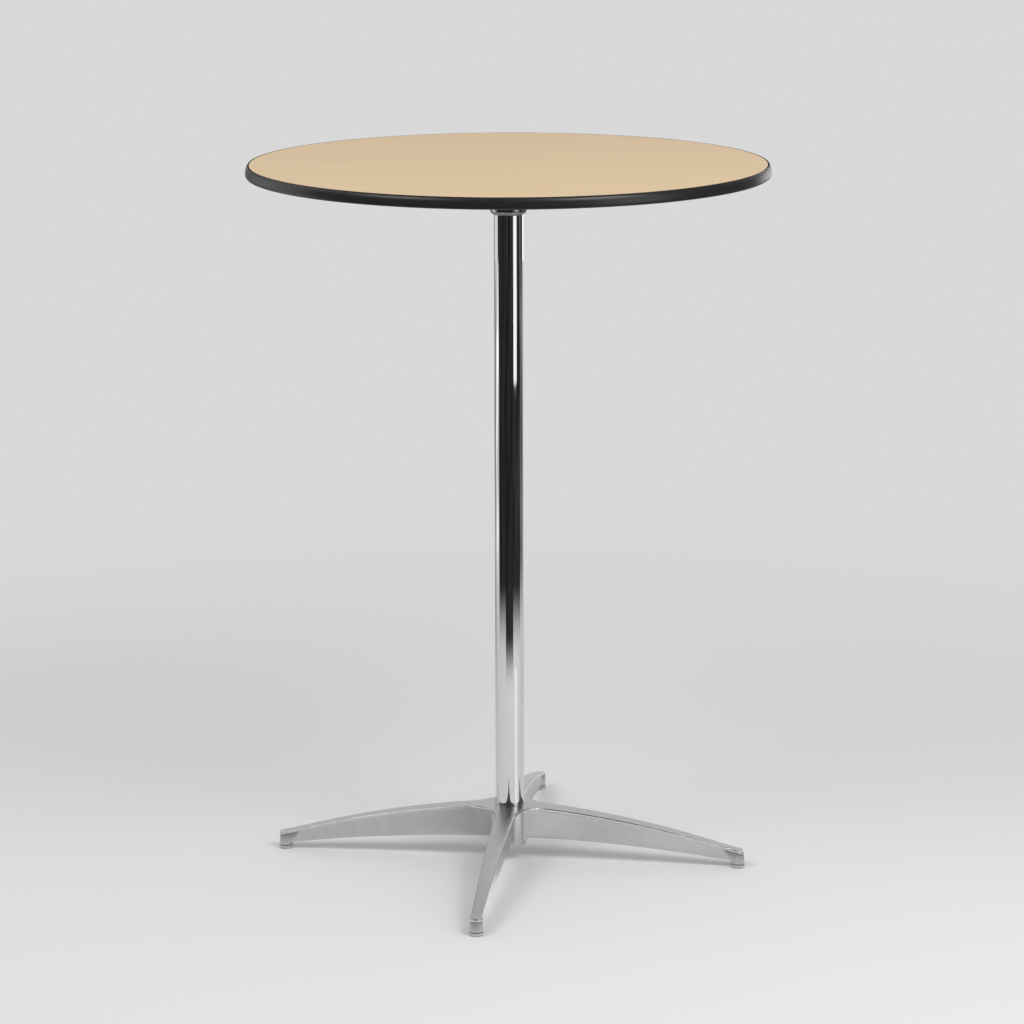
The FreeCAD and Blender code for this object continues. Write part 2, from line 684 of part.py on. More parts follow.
# Check every object, then write one file for each sub-part
for item in doc.Objects:
    if "Invalid" in item.State or "Error" in item.State:
        raise RuntimeError(f"{item.Label} did not build: {item.State}")
nodes = [item for item in doc.Objects if item.isDerivedFrom("Part::Feature")
         and (item.TypeId == "PartDesign::Body" or not item.isDerivedFrom("PartDesign::Feature"))
         and item.TypeId != "Sketcher::SketchObject"]
os.makedirs("parts", exist_ok=True)
for item in nodes:
    if item.Shape.isNull() or not item.Shape.isValid():
        raise RuntimeError(f"{item.Label} has no valid shape")
    item.Shape.exportStep(f"parts/{item.Label}.step")
    box = item.Shape.BoundBox
    print(f"{item.Label}: {len(item.Shape.Solids)} solid, {item.Shape.Volume / 1000:.2f} cm3, "
          f"z {box.ZMin:.1f} to {box.ZMax:.1f}, across {box.XLength:.1f}")
print(len(nodes), "nodes written")
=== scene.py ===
# %% [markdown]
# A bar-height cocktail table: a wood-faced disc with a black edge strip, on a chromed column and a cast
# base with four arched legs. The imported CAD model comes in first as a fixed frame, in metres, with the
# floor at zero and the column standing on the origin. Everything below is placed by that frame, so the
# looks can't drift away from the sizes.

# %% Load the frame
import json
import math

import bmesh
import bpy
import numpy as np
from mathutils import Matrix, Vector


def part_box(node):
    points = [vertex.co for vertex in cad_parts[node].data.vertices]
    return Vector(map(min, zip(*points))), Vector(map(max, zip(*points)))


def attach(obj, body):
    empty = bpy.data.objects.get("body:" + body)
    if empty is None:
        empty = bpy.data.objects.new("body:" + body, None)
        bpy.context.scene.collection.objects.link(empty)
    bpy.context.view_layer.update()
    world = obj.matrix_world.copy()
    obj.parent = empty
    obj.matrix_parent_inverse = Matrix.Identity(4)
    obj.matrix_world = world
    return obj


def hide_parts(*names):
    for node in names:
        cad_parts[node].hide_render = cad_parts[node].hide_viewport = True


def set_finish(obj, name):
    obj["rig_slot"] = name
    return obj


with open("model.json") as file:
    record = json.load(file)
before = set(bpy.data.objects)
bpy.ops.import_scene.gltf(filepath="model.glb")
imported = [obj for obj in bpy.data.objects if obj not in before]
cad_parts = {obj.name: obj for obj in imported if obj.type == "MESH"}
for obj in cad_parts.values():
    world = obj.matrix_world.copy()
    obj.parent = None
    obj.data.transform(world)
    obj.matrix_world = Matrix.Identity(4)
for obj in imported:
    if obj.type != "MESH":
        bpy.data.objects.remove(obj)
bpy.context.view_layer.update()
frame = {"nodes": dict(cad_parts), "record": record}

# %% [markdown]
# Every new piece is a grid of points worked out as whole arrays: one index runs along a profile and the
# other along a path or around an axis. A grid needs faces, and the first helper lists them by point
# number. Blender's own grid operator makes flat sheets only, so counting the corners is the shorter way.

# %% Faces of a grid


def grid_faces(rows, columns, close_rows=False, close_columns=False):
    """Faces of a grid whose point (i, j) has number i * columns + j; a closed side joins end to start."""
    i, j = np.meshgrid(np.arange(rows if close_rows else rows - 1),
                       np.arange(columns if close_columns else columns - 1), indexing="ij")
    i, j = i.ravel(), j.ravel()
    after, beside = (i + 1) % rows, (j + 1) % columns
    corners = ((i, j), (after, j), (after, beside), (i, beside))
    return np.stack([row * columns + column for row, column in corners], axis=1)


print("faces of a 3 by 4 grid:", len(grid_faces(3, 4)))

# %% [markdown]
# Tubes, discs and bosses are round, so they are profiles turned about an upright axis, as on a lathe, and
# their roundings are arcs. A Screw modifier could turn a profile as well, but it may leave the surface
# inside out, and the formula is one line.

# %% Turned profiles and arcs
MM = 0.001
TURN_STEPS = 256


def arc(centre, radius, start, end, count):
    """Points on a circle between two angles in degrees: centre plus radius times (cos a, sin a)."""
    angle = np.radians(np.linspace(start, end, count))
    return np.stack([centre[0] + radius * np.cos(angle), centre[1] + radius * np.sin(angle)], axis=1)


def turned(radius, height, steps=TURN_STEPS, centre=(0.0, 0.0)):
    """Closed profile (r, h) turned about an upright axis: x = r cos a, y = r sin a, z = h at angle a."""
    angle = np.linspace(0, 2 * np.pi, steps, endpoint=False)[:, None]
    radius, height = np.asarray(radius, float)[None, :], np.asarray(height, float)[None, :]
    points = np.stack([centre[0] + radius * np.cos(angle), centre[1] + radius * np.sin(angle),
                       height + 0 * angle], axis=2)
    return points.reshape(-1, 3), grid_faces(steps, radius.shape[1], close_rows=True, close_columns=True)


print("quarter arc ends at", arc((0, 0), 1, 0, 90, 5)[-1].round(3))

# %% [markdown]
# Arrays become a piece in two steps. The mesh is made first: doubles are merged, normals turned outwards,
# and the shading is smooth except across sharp edges. Then the piece rides on a body of the frame and
# takes the place of a CAD node, with that node's material slot, so that it moves as the solid does.

# %% Points into a piece
SHARP_ANGLE = math.radians(38)
MERGE_DISTANCE, FLAT_DISTANCE = 2e-6, 1e-7
slot_of_node = {row["node"]: row["material_slot"] for row in frame["record"]["subparts"]}


def joined(*parts):
    """Several (points, faces) pairs as one pair, with the face numbers moved along."""
    starts = np.cumsum([0] + [len(points) for points, _ in parts[:-1]])
    return (np.concatenate([points for points, _ in parts]),
            np.concatenate([faces + start for (_, faces), start in zip(parts, starts)]))


def new_piece(name, points, faces):
    """Mesh object from a point array and a face array, doubles merged and normals turned outwards."""
    mesh = bpy.data.meshes.new(name)
    mesh.from_pydata(points.tolist(), [], faces.tolist())
    work = bmesh.new()
    work.from_mesh(mesh)
    bmesh.ops.remove_doubles(work, verts=work.verts, dist=MERGE_DISTANCE)
    bmesh.ops.dissolve_degenerate(work, edges=work.edges, dist=FLAT_DISTANCE)
    bmesh.ops.recalc_face_normals(work, faces=work.faces)
    work.to_mesh(mesh)
    work.free()
    mesh.shade_smooth()
    mesh.set_sharp_from_angle(angle=SHARP_ANGLE)
    piece = bpy.data.objects.new(name, mesh)
    bpy.context.scene.collection.objects.link(piece)
    print(name, len(mesh.vertices), "points")
    return piece


def stands_for(piece, node, body="table"):
    """The piece rides on the body and takes the place and the material slot of a CAD node."""
    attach(piece, body)
    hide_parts(node)
    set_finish(piece, slot_of_node[node])
    return piece


print("material slots:", len(set(slot_of_node.values())))

# %% [markdown]
# The column is a chromed steel tube. A plain cylinder with many sides is enough, because smooth shading
# and a mirror finish hide its facets. The profile is one closed loop, outer wall, rim and inner wall, so
# that the tube has its real wall thickness.

# %% Column tube
TUBE_WALL, TUBE_EDGE = 1.5 * MM, 0.4 * MM
tube_low, tube_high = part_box("column_tube")
tube_radius = round((tube_high.x - tube_low.x) / 2, 5)
tube_lip, tube_bore = tube_radius - TUBE_EDGE, tube_radius - TUBE_WALL
tube_bottom, tube_top = tube_low.z, tube_high.z
tube_r = [tube_lip, tube_radius, tube_radius, tube_lip, tube_bore, tube_bore]
tube_z = [tube_bottom, tube_bottom + TUBE_EDGE, tube_top - TUBE_EDGE, tube_top, tube_top, tube_bottom]
column = stands_for(new_piece("column", *turned(tube_r, tube_z)), "column_tube")
print("tube radius", tube_radius)

# %% [markdown]
# A black vinyl strip runs round the edge of the top. Its outer face falls from a wide upper rounding, a
# quarter of an ellipse, to a tighter lower corner, and a tongue behind it sits in a saw kerf in the wood.
# A bevel on a ring would round both corners alike, so the profile is drawn by formula and carried round
# the disc. Its soft highlight then stays unbroken.

# %% Edge strip
UPPER_CORNER, UPPER_FALL, LOWER_CORNER = 5.4 * MM, 9.5 * MM, 2.4 * MM
STRIP_BULGE, STRIP_GAP = 0.35 * MM, 0.1 * MM
TONGUE_HALF, TONGUE_DEPTH = 1.2 * MM, 11 * MM
STRIP_STEPS = 512
strip_low, strip_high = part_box("edge_trim")
disc_radius = round(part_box("top_face")[1].x, 5)


def strip_profile(front, back, bottom, top):
    """Loop of radius and height: ellipse quarter, face bulged by one less share squared, arc, tongue."""
    face_top, face_bottom = top - UPPER_FALL, bottom + LOWER_CORNER
    share = np.linspace(-1, 1, 11)[1:-1]
    face_height = (face_top + face_bottom - share * (face_top - face_bottom)) / 2
    face = np.stack([front - STRIP_BULGE * share ** 2, face_height], axis=1)
    upper_centre = [front - UPPER_CORNER - STRIP_BULGE, face_top]
    upper = upper_centre + arc((0, 0), 1, 90, 8, 16) * [UPPER_CORNER, UPPER_FALL]
    lower = arc((front - LOWER_CORNER - STRIP_BULGE, face_bottom), LOWER_CORNER, -12, -90, 8)
    middle, tip = (top + bottom) / 2, back - TONGUE_DEPTH
    tongue = np.array([[back, bottom], [back, middle - TONGUE_HALF], [tip, middle - TONGUE_HALF],
                       [tip, middle + TONGUE_HALF], [back, middle + TONGUE_HALF], [back, top]])
    return np.concatenate([upper, face, lower, tongue])


profile = strip_profile(strip_high.x, disc_radius + STRIP_GAP, strip_low.z, strip_high.z)
edge_strip = stands_for(new_piece("edge_strip", *turned(*profile.T, steps=STRIP_STEPS)), "edge_trim")
print("strip across", round(2 * strip_high.x, 4))

# %% [markdown]
# The base is one aluminium casting: four arched legs with a flat flange on top of an upright web, a hub
# round the foot of the column, and a round boss at each foot. Its heights come first. The crown of the
# legs and the lower edge of the webs are circles seen from the side. Near the feet the crown eases into a
# low level end, which a smooth maximum of the arch and that level gives without a kink.

# %% Arches of the legs
CROWN_HEIGHT, CROWN_END_HEIGHT, CROWN_REACH, CROWN_RADIUS = 87 * MM, 19.5 * MM, 369.5 * MM, 1450 * MM
END_LEVEL, END_EASE = 22 * MM, 7 * MM
WEB_ROOT_HEIGHT, WEB_END_HEIGHT, WEB_ARCH = 35 * MM, 9 * MM, 2375 * MM
FOOT_CIRCLE = 349.5 * MM
HUB_RADIUS, HUB_FILLET = 25 * MM, 11.5 * MM


def arch(r, start, end, radius):
    """Height at distance r on the circle of that radius, hollow below, through the start and end points."""
    (r0, z0), (r1, z1) = start, end
    chord = math.hypot(r1 - r0, z1 - z0)
    drop = math.sqrt(radius ** 2 - chord ** 2 / 4) / chord
    middle_r = (r0 + r1) / 2 - drop * (z0 - z1)
    middle_z = (z0 + z1) / 2 - drop * (r1 - r0)
    return middle_z + np.sqrt(np.maximum(radius ** 2 - (r - middle_r) ** 2, 0))


def crown(plan):
    """Height of the legs in plan: level + half of (rise + root of (rise squared + ease squared))."""
    r = np.maximum(np.hypot(plan[..., 0], plan[..., 1]), tube_radius)
    rise = arch(r, (tube_radius, CROWN_HEIGHT), (CROWN_REACH, CROWN_END_HEIGHT), CROWN_RADIUS) - END_LEVEL
    return END_LEVEL + (rise + np.sqrt(rise ** 2 + END_EASE ** 2)) / 2


def web_bottom(plan):
    """Height of the lower edge of the webs over plan points, with a quarter round into the hub."""
    r = np.hypot(plan[..., 0], plan[..., 1])
    low = arch(r, (HUB_RADIUS + HUB_FILLET, WEB_ROOT_HEIGHT), (FOOT_CIRCLE, WEB_END_HEIGHT), WEB_ARCH)
    inward = np.clip(HUB_RADIUS + HUB_FILLET - r, 0, HUB_FILLET)
    return np.where(inward > 0, WEB_ROOT_HEIGHT - HUB_FILLET + np.sqrt(HUB_FILLET ** 2 - inward ** 2), low)


print("crown at the column and the feet", crown(np.array([[tube_radius, 0], [FOOT_CIRCLE, 0]])).round(4))

# %% [markdown]
# The plan comes next. One eighth of it is enough, from the middle of a leg to the line half-way between
# two legs. The flange sides and the web sides are straight lines that taper to the foot. The flanges meet
# in a wide rounding, and the webs run into the hub with a small fillet.

# %% Plan of a leg
FLANGE_ROOT, FLANGE_END, FLANGE_BLEND = 15.6 * MM, 8.1 * MM, 47 * MM
BULB_RADIUS, NECK_BLEND = 8.9 * MM, 20 * MM
WEB_ROOT, WEB_END, WEB_FILLET, WEB_NECK = 8.7 * MM, 5.9 * MM, 7 * MM, 14 * MM
BOSS_RADIUS, BOSS_OVERLAP = 10 * MM, 0.4 * MM
WEB_BULB = BOSS_RADIUS - BOSS_OVERLAP
BEND_COUNT = 40


def neck_begins(bulb, blend, end):
    """Distance at which an arm's side, end wide, turns by a rounding of radius blend to its round end."""
    return FOOT_CIRCLE - math.sqrt((bulb + blend) ** 2 - (end + blend) ** 2)


def flange_side(end_x):
    """Rounding from the diagonal to where it touches the side, and the side's line, start + slope * x."""
    slope = (FLANGE_END - FLANGE_ROOT) / (end_x - FLANGE_ROOT)
    start = FLANGE_ROOT - slope * FLANGE_ROOT
    centre = (start + FLANGE_BLEND * math.hypot(1, slope)) / (1 - slope)
    touch = math.degrees(math.atan2(-1, slope)) % 360
    return arc((centre, centre), FLANGE_BLEND, 225, touch, BEND_COUNT), start, slope


neck_start = neck_begins(BULB_RADIUS, NECK_BLEND, FLANGE_END)
web_neck_start = neck_begins(WEB_BULB, WEB_NECK, WEB_END)
flange_bend, flange_start, flange_slope = flange_side(neck_start)
web_slope = (WEB_END - WEB_ROOT) / (web_neck_start - WEB_ROOT)
web_start = WEB_ROOT * (1 - web_slope)
fillet_y = WEB_ROOT + WEB_FILLET
fillet_x = math.sqrt((HUB_RADIUS + WEB_FILLET) ** 2 - fillet_y ** 2)
fillet_turn = math.degrees(math.atan2(fillet_y, fillet_x))
run_x = flange_bend[-1, 0]
print("flange sides run from", round(run_x, 4), "to", round(neck_start, 4))

# %% [markdown]
# Stations stand along that eighth, and each has three points in plan: the spine, the outline of the
# flange and the side of the web. The flange ends in a squared bulb over the foot, as a cast end looks
# after grinding. A superellipse gives it: the two offsets over the radius, raised to a power, add up to
# one.

# %% Stations along one eighth of the base
RUN_COUNT, NECK_COUNT, BULB_COUNT = 90, 12, 28
BULB_POWER = 3.5


def resampled(path, count):
    """The same path as count points, evenly spaced along its length."""
    length = np.concatenate([[0], np.cumsum(np.hypot(*np.diff(path, axis=0).T))])
    along = np.linspace(0, length[-1], count)
    return np.stack([np.interp(along, length, path[:, k]) for k in (0, 1)], axis=1)


run = np.linspace(run_x, neck_start, RUN_COUNT + 1)[1:]
flange_run = np.stack([run, flange_start + flange_slope * run], axis=1)
neck_centre = np.array([neck_start, FLANGE_END + NECK_BLEND])
neck_turn = math.degrees(math.atan2(-neck_centre[1], FOOT_CIRCLE - neck_start))
neck = arc(neck_centre, NECK_BLEND, -90, neck_turn, NECK_COUNT + 1)[1:]
bulb_turn = np.radians(np.linspace(neck_turn + 180, 0, BULB_COUNT + 1)[1:])
bulb_cos, bulb_sin = np.cos(bulb_turn), np.sin(bulb_turn)
squared = (np.abs(bulb_cos) ** BULB_POWER + np.abs(bulb_sin) ** BULB_POWER) ** (-1 / BULB_POWER)
squared = np.where(bulb_cos > 0, squared, 1)
bulb = [FOOT_CIRCLE, 0] + BULB_RADIUS * np.stack([squared * bulb_cos, squared * bulb_sin], axis=1)
outline = np.concatenate([resampled(flange_bend, BEND_COUNT), flange_run, neck, bulb])

spine_bend = np.concatenate([arc((0, 0), tube_radius, 45, 0, 20), [[run_x, 0]]])
neck_x = np.linspace(neck_start, FOOT_CIRCLE, NECK_COUNT + 1)[1:]
spine_x = np.concatenate([run, neck_x, np.full(BULB_COUNT, FOOT_CIRCLE)])
spine = np.concatenate([resampled(spine_bend, BEND_COUNT), np.stack([spine_x, 0 * spine_x], axis=1)])
print("stations:", len(outline), len(spine))

# %% [markdown]
# The side of the web follows the same stations: round the hub, through its fillet, along the straight
# side and out through a neck to the round end over the boss. From it each station gets its direction
# outwards and its share of the foot end.

# %% Web side at the stations
web_corner = [[run_x, web_start + web_slope * run_x]]
web_bend = np.concatenate([arc((0, 0), HUB_RADIUS, 45, fillet_turn, 12),
                           arc((fillet_x, fillet_y), WEB_FILLET, 180 + fillet_turn, 270, 16), web_corner])
web_neck_centre = np.array([web_neck_start, WEB_END + WEB_NECK])
web_turn = math.degrees(math.atan2(-web_neck_centre[1], FOOT_CIRCLE - web_neck_start))
web_side = np.concatenate([web_corner, arc(web_neck_centre, WEB_NECK, -90, web_turn, 30),
                           arc((FOOT_CIRCLE, 0), WEB_BULB, web_turn + 180, 90, 20)])
side_x = np.concatenate([run, neck_x])
side = np.stack([side_x, np.interp(side_x, *web_side.T)], axis=1)
round_end = arc((FOOT_CIRCLE, 0), WEB_BULB, 90, 0, BULB_COUNT + 1)[1:]
web = np.concatenate([resampled(web_bend, BEND_COUNT), side, round_end])
outward = (outline - spine) / np.hypot(*(outline - spine).T)[:, None]
end_share = np.concatenate([np.zeros(BEND_COUNT + RUN_COUNT), np.linspace(0, 1, NECK_COUNT),
                            np.ones(BULB_COUNT)])
print("web stations:", len(web))

# %% [markdown]
# The half section is carried from station to station. Each row holds one point per station, its place in
# plan and its height. The first rows go over the flange: a bevel at the column, the top, and quarter
# circles round its edge, which catch a line of light as the casting's do.

# %% Rows over the flange
FLANGE_THICKNESS, MOUTH_BEVEL = 4.2 * MM, 1 * MM
EDGE_ROUND, UNDER_ROUND = 1.3 * MM, 0.8 * MM
TOP_ROWS = 10


def flange_rows():
    """Rows over the flange: bevel at the column's mouth, top, quarter round of its edge, lower edge."""
    from_axis = np.hypot(*spine.T)
    bevel = np.clip(MOUTH_BEVEL - (from_axis - tube_radius), 0, MOUTH_BEVEL)
    yield spine, crown(spine) - bevel
    mouth = spine * (1 + bevel / from_axis)[:, None]
    for share in np.linspace(0, 1, TOP_ROWS):
        plan = mouth + (outline - EDGE_ROUND * outward - mouth) * share
        yield plan, crown(plan)
    top = crown(outline)
    for turn in np.radians([22, 45, 68, 90]):
        yield outline - EDGE_ROUND * outward * (1 - np.sin(turn)), top - EDGE_ROUND * (1 - np.cos(turn))
    under = top - FLANGE_THICKNESS
    for turn in np.radians([0, 45, 90]):
        yield outline - UNDER_ROUND * outward * (1 - np.cos(turn)), under + UNDER_ROUND * (1 - np.sin(turn))


print("rows over the flange:", len(list(flange_rows())))

# %% [markdown]
# The next rows go under the flange and down the flank to its rounded lower edge. A Bevel modifier would
# round such corners too, but here the fillet shrinks with the overhang.

# %% Rows down the flank
UNDER_FILLET, FILLET_LEAST, FILLET_SHARE = 4.5 * MM, 0.2 * MM, 0.75
LEAN, LEAN_START = 0.07, 12 * MM
LOWER_ROUND, FLANK_ROWS = 1.4 * MM, 7


def leaned(height):
    """Plan of the flank at a height: its round end draws in with the height above the start of the lean."""
    return web - outward * (LEAN * np.clip(height - LEAN_START, 0, None) * end_share)[:, None]


def flank_rows():
    """Rows under the flange: underside, shrinking fillet, flank and rounded lower edge."""
    root = leaned(crown(outline) - FLANGE_THICKNESS)
    overhang = np.einsum("ij,ij->i", outline - root, outward)
    fillet = np.clip(FILLET_SHARE * (overhang - UNDER_ROUND), FILLET_LEAST, UNDER_FILLET)[:, None]
    inner, outer = root + fillet * outward, outline - UNDER_ROUND * outward
    for share in (0.33, 0.67):
        plan = outer + (inner - outer) * share
        yield plan, crown(plan) - FLANGE_THICKNESS
    fillet_top = crown(inner) - FLANGE_THICKNESS
    for turn in np.radians([0, 18, 36, 54, 72, 90]):
        yield root + fillet * outward * (1 - np.sin(turn)), fillet_top - fillet[:, 0] * (1 - np.cos(turn))
    flank_top, flank_low = fillet_top - fillet[:, 0], web_bottom(web) + LOWER_ROUND
    for share in np.linspace(0, 1, FLANK_ROWS + 1)[1:]:
        height = flank_top + (flank_low - flank_top) * share
        yield leaned(height), height
    for turn in np.radians([30, 60, 90]):
        yield web - LOWER_ROUND * outward * (1 - np.cos(turn)), flank_low - LOWER_ROUND * np.sin(turn)


print("rows down the flank:", len(list(flank_rows())))

# %% [markdown]
# The casting is hollow from below, which saves metal and lets it cool evenly. The last rows line that
# hollow, and then the eighth is mirrored into a whole leg.

# %% Rows of the hollow, and the leg
CHANNEL_HALF, CHANNEL_START, CHANNEL_END = 3.2 * MM, 34 * MM, 331 * MM
CHANNEL_ROOF, CHANNEL_EASE, CHANNEL_SHARE = 8.7 * MM, 4 * MM, 0.7


def hollow_rows():
    """Rows of the hollow: its wall, up to a roof that comes down to the lower edge at both ends."""
    reach, r = np.hypot(*(web - spine).T), np.hypot(*spine.T)
    wall = spine + outward * np.minimum(CHANNEL_HALF, CHANNEL_SHARE * reach)[:, None]
    low = web_bottom(web)
    yield wall, low
    open_share = (np.clip((r - CHANNEL_START) / CHANNEL_EASE, 0, 1)
                  * np.clip((CHANNEL_END - r) / CHANNEL_EASE, 0, 1))
    roof = low + (crown(spine) - FLANGE_THICKNESS - CHANNEL_ROOF - low) * open_share
    yield wall, roof
    yield spine, roof


rows = [*flange_rows(), *flank_rows(), *hollow_rows()]
eighth = np.stack([np.column_stack(row) for row in rows])
mirrored = eighth * [1, -1, 1]
skin_faces = grid_faces(*eighth.shape[:2])
leg = joined((eighth.reshape(-1, 3), skin_faces), (mirrored.reshape(-1, 3), skin_faces[:, ::-1]))
print("section rows:", len(rows))

# %% [markdown]
# The hub and the foot bosses are turned shapes. Each boss is a short drum with a bevelled lower edge.
# Higher up it goes on inside the round end of the leg, which leans inwards as a pattern must to leave its
# mould. The leg and its boss are set round the hub by four quarter turns.

# %% Hub and foot bosses
BOSS_TOP, BOSS_NECK, BOSS_BEVEL, BOSS_STEP = 24 * MM, 7.2 * MM, 0.5 * MM, 0.2 * MM
BOSS_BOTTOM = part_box("base_casting")[0].z
BOSS_STEPS = 96
BORE_RADIUS, BORE_DEPTH = 4.05 * MM, 15 * MM
RECESS_RADIUS, RECESS_TOP, BOLT_HOLE = 15.5 * MM, 40 * MM, 6.5 * MM
SOCKET_FLOOR, SOCKET_RADIUS = 50 * MM, 21.95 * MM
HUB_BOTTOM, HUB_BEVEL, HUB_COVER = 23 * MM, 1 * MM, 3 * MM
hub_top = CROWN_HEIGHT - HUB_COVER
hub_r = [RECESS_RADIUS, HUB_RADIUS - HUB_BEVEL, HUB_RADIUS, HUB_RADIUS, SOCKET_RADIUS, SOCKET_RADIUS,
         BOLT_HOLE, BOLT_HOLE, RECESS_RADIUS]
hub_z = [HUB_BOTTOM, HUB_BOTTOM, HUB_BOTTOM + HUB_BEVEL, hub_top, hub_top, SOCKET_FLOOR,
         SOCKET_FLOOR, RECESS_TOP, RECESS_TOP]
hub = turned(hub_r, hub_z)
bore_top, drum = BOSS_BOTTOM + BORE_DEPTH, BOSS_RADIUS - BOSS_STEP
boss_r = [0, BORE_RADIUS, BORE_RADIUS, drum - BOSS_BEVEL, drum, WEB_BULB, BOSS_NECK, 0]
boss_z = [bore_top, bore_top, BOSS_BOTTOM, BOSS_BOTTOM, BOSS_BOTTOM + BOSS_BEVEL, LEAN_START,
          BOSS_TOP, BOSS_TOP]
boss = turned(boss_r, boss_z, steps=BOSS_STEPS, centre=(FOOT_CIRCLE, 0))
quarter_turns = [np.array([[c, -s, 0], [s, c, 0], [0, 0, 1]]) for c, s in ((1, 0), (0, 1), (-1, 0), (0, -1))]
shells = [(points @ turn.T, faces) for turn in quarter_turns for points, faces in (leg, boss)]
base = stands_for(new_piece("base", *joined(hub, *shells)), "base_casting")
print("base faces:", len(base.data.polygons))

# %% [markdown]
# A polishing wheel runs along the edges of the flange and round the feet; the tops get less of it, and
# the cast skin of the flanks none. The feet are also painted darker: painted shade that grows with the
# height under the flange ends, and on their outer face a painted reflection of the black flag in front.
# Noise alone wouldn't know these places. So numbers on each point of the mesh keep them, and the finish
# reads them: the polish, from nought for the skin to one for a mirror, the shares of a top, an edge and a
# foot, and the painted shade.

# %% Polish of the base
TOP_POLISH, EDGE_POLISH, FOOT_POLISH = 0.15, 0.6, 0.7
FLANGE_SLACK, UNDER_SLOPE = 0.3 * MM, -0.3
TOP_SLOPE, TOP_EASE = 0.86, 0.06
FOOT_REACH, FOOT_LEAN, FOOT_EDGE = 9.5 * MM, 0.7, 5 * MM
SHADE_LOW, SHADE_HIGH = 8 * MM, 21 * MM
OUTER_SLOPE, OUTER_EASE = 0.75, 0.15


def marks_of(piece):
    """Marks by point, from the slope, the depth under the crown and a leaning cone round each foot."""
    points, slopes = np.zeros((2, 3 * len(piece.data.vertices)))
    piece.data.vertices.foreach_get("co", points)
    piece.data.vertices.foreach_get("normal", slopes)
    points, slopes = points.reshape(-1, 3), slopes.reshape(-1, 3)
    height, upward = points[:, 2], slopes[:, 2]
    flange = (crown(points[:, :2]) - height < FLANGE_THICKNESS - FLANGE_SLACK) * (upward > UNDER_SLOPE)
    top = flange * np.clip((upward - TOP_SLOPE) / TOP_EASE, 0, 1)
    edge = flange - top
    plan = np.sort(np.abs(points[:, :2]), axis=1)
    from_foot = np.hypot(plan[:, 1] - FOOT_CIRCLE, plan[:, 0])
    reach = FOOT_REACH + FOOT_LEAN * (height - BOSS_BOTTOM)
    foot = np.clip((reach - from_foot) / FOOT_EDGE, 0, 1) * (1 - flange)
    # Painted shade on the feet under the flange ends, and a painted reflection of the black flag on their
    # outer face.
    rise = np.clip((height - SHADE_LOW) / (SHADE_HIGH - SHADE_LOW), 0, 1)
    facing_out = (points[:, :2] * slopes[:, :2]).sum(axis=1) / np.maximum(np.hypot(*points[:, :2].T), MM)
    outer_face = np.clip((facing_out - OUTER_SLOPE) / OUTER_EASE, 0, 1)
    shade = foot * np.maximum(rise ** 2, outer_face * rise ** 0.5)
    polish = TOP_POLISH * top + EDGE_POLISH * edge + FOOT_POLISH * foot
    return {"polish": polish, "top": top, "edge": edge, "foot": foot, "shade": shade}


for name, values in marks_of(base).items():
    base.data.attributes.new(name, "FLOAT", "POINT").data.foreach_set("value", values.astype(np.float32))
    print(name, "mean over the points", round(float(values.mean()), 3))

# %% [markdown]
# Each foot stands on a grey moulded glide. Its pad is a low disc with rounded edges and a pocket that
# holds the knob of the stem. It is turned from one closed profile, pocket and all, so that it looks right
# from above when the foot is screwed out.

# %% Profile of a glide pad
PAD_RADIUS, PAD_HEIGHT, PAD_LOWER, PAD_UPPER, PAD_MOUTH = 10.5 * MM, 4.6 * MM, 1.6 * MM, 1.0 * MM, 3.1 * MM
POCKET_RADIUS, POCKET_FLOOR, POCKET_TOP = 4.7 * MM, 1.4 * MM, 3.0 * MM


def pad_profile():
    """Closed profile: floor face, lower round, wall, upper round, mouth and the pocket for the knob."""
    lower_round = arc((PAD_RADIUS - PAD_LOWER, PAD_LOWER), PAD_LOWER, -90, 0, 9)
    upper_round = arc((PAD_RADIUS - PAD_UPPER, PAD_HEIGHT - PAD_UPPER), PAD_UPPER, 0, 90, 7)
    pocket = np.array([[PAD_MOUTH, PAD_HEIGHT], [PAD_MOUTH, POCKET_TOP], [POCKET_RADIUS, POCKET_TOP],
                       [POCKET_RADIUS, POCKET_FLOOR], [0, POCKET_FLOOR], [0, 0]])
    return np.concatenate([lower_round, upper_round, pocket])


print("points on the pad's profile:", len(pad_profile()))

# %% [markdown]
# The steel stem of a glide carries a right-handed thread, which shows when the foot is screwed out. A
# Screw modifier could wind it. Here it is a function of two parameters, so it ends in a neat run-out: the
# radius goes up and down along the height, and the pattern climbs one pitch in each turn.

# %% Thread of a stem
PITCH, THREAD_DEPTH, THREAD_END, STEM_RADIUS = 1.25 * MM, 0.6 * MM, 1 * MM, 4 * MM
THREAD_AROUND, THREAD_ALONG = 48, 100


def round_the_axis(radius, angle, height):
    """Points and faces of a surface given by its radius over angle and height: x = r cos a, y = r sin a."""
    points = np.stack([radius * np.cos(angle), radius * np.sin(angle), height + 0 * radius], axis=2)
    return points.reshape(-1, 3), grid_faces(*radius.shape, close_rows=True)


def thread(top):
    """Radius over angle and height: full radius less a depth that swings with height / pitch - turn."""
    angle = np.linspace(0, 2 * np.pi, THREAD_AROUND, endpoint=False)[:, None]
    height = np.linspace(BOSS_BOTTOM, top, THREAD_ALONG)[None, :]
    swing = np.abs(((height / PITCH - angle / (2 * np.pi)) % 1) * 2 - 1)
    near_end = np.clip((top - height) / THREAD_END, 0, 1)
    radius = STEM_RADIUS - THREAD_DEPTH * (1 - near_end * (1 - swing))
    capped = np.pad(radius, ((0, 0), (1, 1)))
    return round_the_axis(capped, angle, np.pad(height, ((0, 0), (1, 1)), "edge"))


print("threads in a centimetre:", round(10 * MM / PITCH, 1))

# %% [markdown]
# Under the thread the stem has a six-sided collar for a spanner, a neck, and a knob that the pad holds.
# The hexagon is a formula too, and a circle a little wider than its flats rounds its corners off.

